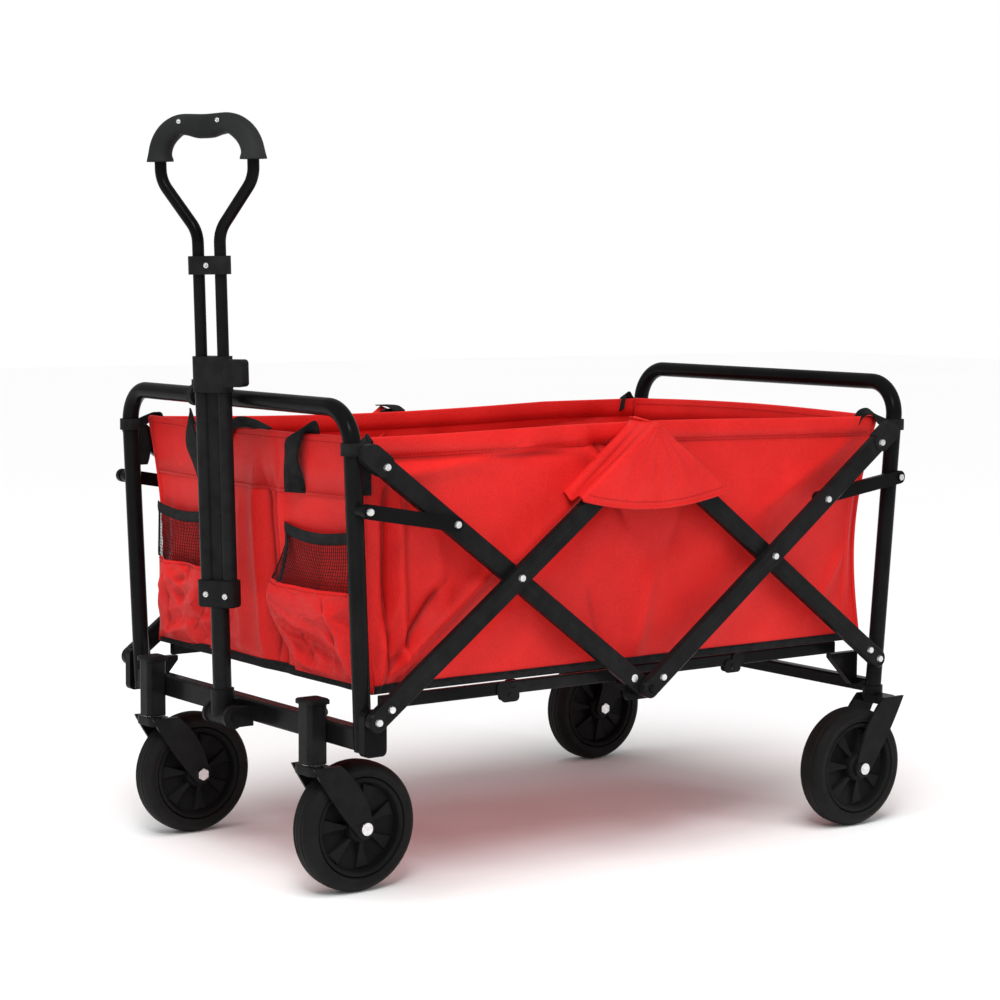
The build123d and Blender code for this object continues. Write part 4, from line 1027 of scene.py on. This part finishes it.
def grip_line(s):
    """The grip's centre line, from one end of the U to the other, and its direction."""
    straight = grip_top - grip_corner - grip_end
    arc = grip_corner * math.pi / 2
    top = 2 * (grip_half - grip_corner)
    shoulder, neck = grip_half - grip_corner, grip_top - grip_corner
    place = s * (2 * straight + 2 * arc + top)
    if place < straight:
        return (-grip_half, grip_end + place), (0, 1)
    place -= straight
    if place < arc:
        a = place / grip_corner
        c, d = math.cos(a), math.sin(a)
        return (-shoulder - grip_corner * c, neck + grip_corner * d), (d, c)
    place -= arc
    if place < top:
        return (-shoulder + place, grip_top), (1, 0)
    place -= top
    if place < arc:
        a = place / grip_corner
        c, d = math.cos(a), math.sin(a)
        return (shoulder + grip_corner * d, neck + grip_corner * c), (c, -d)
    return (grip_half, neck - (place - arc)), (0, -1)


def grip_ring(s):
    (a, h), (da, dh) = grip_line(s)
    middle = math.exp(-((s - 0.5) / 0.13) ** 2)
    ends_swell = 0.0025 * math.exp(-(min(s, 1 - s) / 0.035) ** 2)
    finger_rest = 0.0040 * math.exp(-((s - 0.5) / 0.10) ** 4)
    waist = 0.0016 * math.exp(-((abs(s - 0.5) - 0.2) / 0.05) ** 2)
    outer = 0.0142 - 0.0016 * middle + ends_swell
    inner = 0.0135 + finger_rest - waist + ends_swell
    deep = 0.0140 + 0.64 * ends_swell
    square = 0.82  # below 1 makes the section a rounded square
    ring = []
    for c, d in circle(28):
        reach = (outer if c > 0 else inner) * math.copysign(abs(c) ** square, c)
        ring.append(handle_place(a - dh * reach, h + da * reach, deep * math.copysign(abs(d) ** square, d)))
    return ring


grip = loft("grip_moulding", [grip_ring(i / 80) for i in range(81)], grip_rubber, around=0.09)
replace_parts(mount(grip, "handle_slider"), "handle_grip")


def screw(name, centre, out, radius, body, material=zinc, depth=0.0018, cross=True):
    """A pan-head screw with a cross recess, its head proud of a surface along out."""
    out = out.normalized()
    side = out.orthogonal().normalized()
    over = out.cross(side)
    rings = []
    for r, lift in ((1.0, -0.4), (1.0, 0.35), (0.86, 0.80), (0.55, 1.0), (0.42, 0.45 if cross else 0.98)):
        ring = []
        for c, d in circle(24):
            reach = 0.16 + 0.40 * max(abs(c), abs(d)) ** 10 if cross and r < 0.5 else r
            ring.append(centre + (side * c + over * d) * radius * reach + out * lift * depth)
        rings.append(ring)
    mount(loft(name, rings, material), body)


front_of_grip = loop_depth if loop_depth.x < 0 else -loop_depth
for name, across, height, proud, radius, body in (
        ("grip_screw_0", -0.030, grip_top + 0.004, 0.0138, 0.0032, "handle_slider"),
        ("grip_screw_1", 0.026, grip_top + 0.004, 0.0138, 0.0032, "handle_slider"),
        ("spacer_screw", 0.002, 0.5695, 0.0112, 0.0038, "handle_slider"),
        ("block_screw_0", -0.012, 0.156, 0.0132, 0.0040, "handle_sleeve"),
        ("block_screw_1", 0.016, 0.154, 0.0132, 0.0040, "handle_sleeve")):
    screw(name, handle_place(across, height) + front_of_grip * proud, front_of_grip, radius, body)

# ---- bolts on the caster sleeves and feet
for side, side_name in sides:
    sleeve = pivot[f"caster_{side_name}_swivel"]
    bolt_place = Vector((sleeve.x + 0.0141, sleeve.y - 0.002, 0.228))
    screw(f"sleeve_bolt_{side_name}", bolt_place, Vector((1, 0, 0)), 0.0055, "front_frame",
          moulded, 0.005, False)
    crown_path = [Vector((sleeve.x, sleeve.y, z)) for z in (0.1642, 0.1646, 0.1653, 0.1659)]
    washer = round_bar(f"caster_washer_{side_name}", crown_path, [0.0115, 0.0130, 0.0130, 0.0115], zinc, 28,
                       Vector((1, 0, 0)))
    mount(washer, "front_frame")
    cap_rings = []
    for z, size in ((0.2392, 0.0146), (0.2398, 0.0162), (0.2446, 0.0162), (0.2462, 0.0148), (0.2466, 0.0110)):
        ring = []
        for c, d in circle(32):
            grow = size / max(abs(c), abs(d)) * (0.93 if abs(abs(c) - abs(d)) < 0.2 else 1.0)
            ring.append(Vector((sleeve.x + c * grow, sleeve.y + d * grow, z)))
        cap_rings.append(ring)
    mount(loft(f"sleeve_cap_{side_name}", cap_rings, moulded), "front_frame")

# ---- a loop over the sides that does nothing
for side, side_name in sides:
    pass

# ---- studio
def studio_surface(name, color):
    n = Nodes(name)
    tone = n.ramp(n.noise(0.6, 2.0), color, tuple(c * 0.99 for c in color[:3]) + (1,))
    n.set(Specular_IOR_Level=0.1)
    return n.finish(tone, n.levels(n.noise(3.0), 0.85, 0.95))


floor_reach = 14
white = studio_surface("studio_white", (0.95, 0.95, 0.95, 1))
floor = surface("studio_floor", lambda u, v: Vector((2 * u - 1, 2 * v - 1, 0)) * floor_reach,
                (8, 8), (2 * floor_reach, 2 * floor_reach), white)
world = bpy.data.worlds.new("studio")
scene.world = world
world.use_nodes = True
sky = world.node_tree
backdrop = sky.nodes["Background"]
backdrop.inputs["Color"].default_value = (1, 1, 1, 1)
lit = sky.nodes.new("ShaderNodeMapRange")
lit.inputs["To Min"].default_value = 0.46  # as light
lit.inputs["To Max"].default_value = 1.0  # as the camera sees it
sky.links.new(sky.nodes.new("ShaderNodeLightPath").outputs["Is Camera Ray"], lit.inputs["Value"])
sky.links.new(lit.outputs["Result"], backdrop.inputs["Strength"])
scene.view_settings.view_transform = "Standard"


def area_light(name, place, target, size, power, mirrored):
    data = bpy.data.lights.new(name, "AREA")
    data.shape, data.size, data.size_y, data.energy = "RECTANGLE", size[0], size[1], power
    lamp = bpy.data.objects.new(name, data)
    scene.collection.objects.link(lamp)
    lamp.location = place
    lamp.visible_glossy = mirrored
    lamp.rotation_euler = (Vector(target) - Vector(place)).to_track_quat("-Z", "Y").to_euler()


area_light("key", (-1.7, -2.1, 2.6), (0, 0, 0.35), (0.8, 0.8), 29, True)
area_light("front", (-2.3, 1.1, 1.5), (-0.4, 0, 0.4), (0.4, 0.4), 5, False)
area_light("side", (1.2, -2.8, 1.5), (0, 0, 0.4), (0.5, 1.6), 13, False)
area_light("fill", (-1.9, -2.9, 1.7), (0, 0, 0.4), (1.6, 1.6), 3, False)
daylight = bpy.data.lights.new("overhead", "SUN")
daylight.energy, daylight.angle = 2.0, math.radians(40)
overhead = bpy.data.objects.new("overhead", daylight)
scene.collection.objects.link(overhead)
overhead.visible_glossy = False
overhead.rotation_euler = (math.radians(14), math.radians(-16), 0)

# ---- camera
camera_place = (-2.0204, -2.7279, 0.7706)
yaw, pitch, roll = math.radians(36.34), math.radians(-5.451), math.radians(0.3455)
forward = Vector((math.cos(pitch) * math.sin(yaw), math.cos(pitch) * math.cos(yaw), math.sin(pitch)))
right = Vector((math.cos(yaw), -math.sin(yaw), 0))
over = right.cross(forward)
right_rolled = right * math.cos(roll) + over * math.sin(roll)
over_rolled = over * math.cos(roll) - right * math.sin(roll)
camera_data = bpy.data.cameras.new("camera")
camera = bpy.data.objects.new("camera", camera_data)
scene.collection.objects.link(camera)
camera_turn = Matrix((right_rolled, over_rolled, -forward)).transposed().to_4x4()
camera.matrix_world = Matrix.Translation(camera_place) @ camera_turn
camera_data.sensor_width = 36
camera_data.lens = 89.63
camera_data.shift_x, camera_data.shift_y = 0.0139, 0.0025
scene.camera = camera
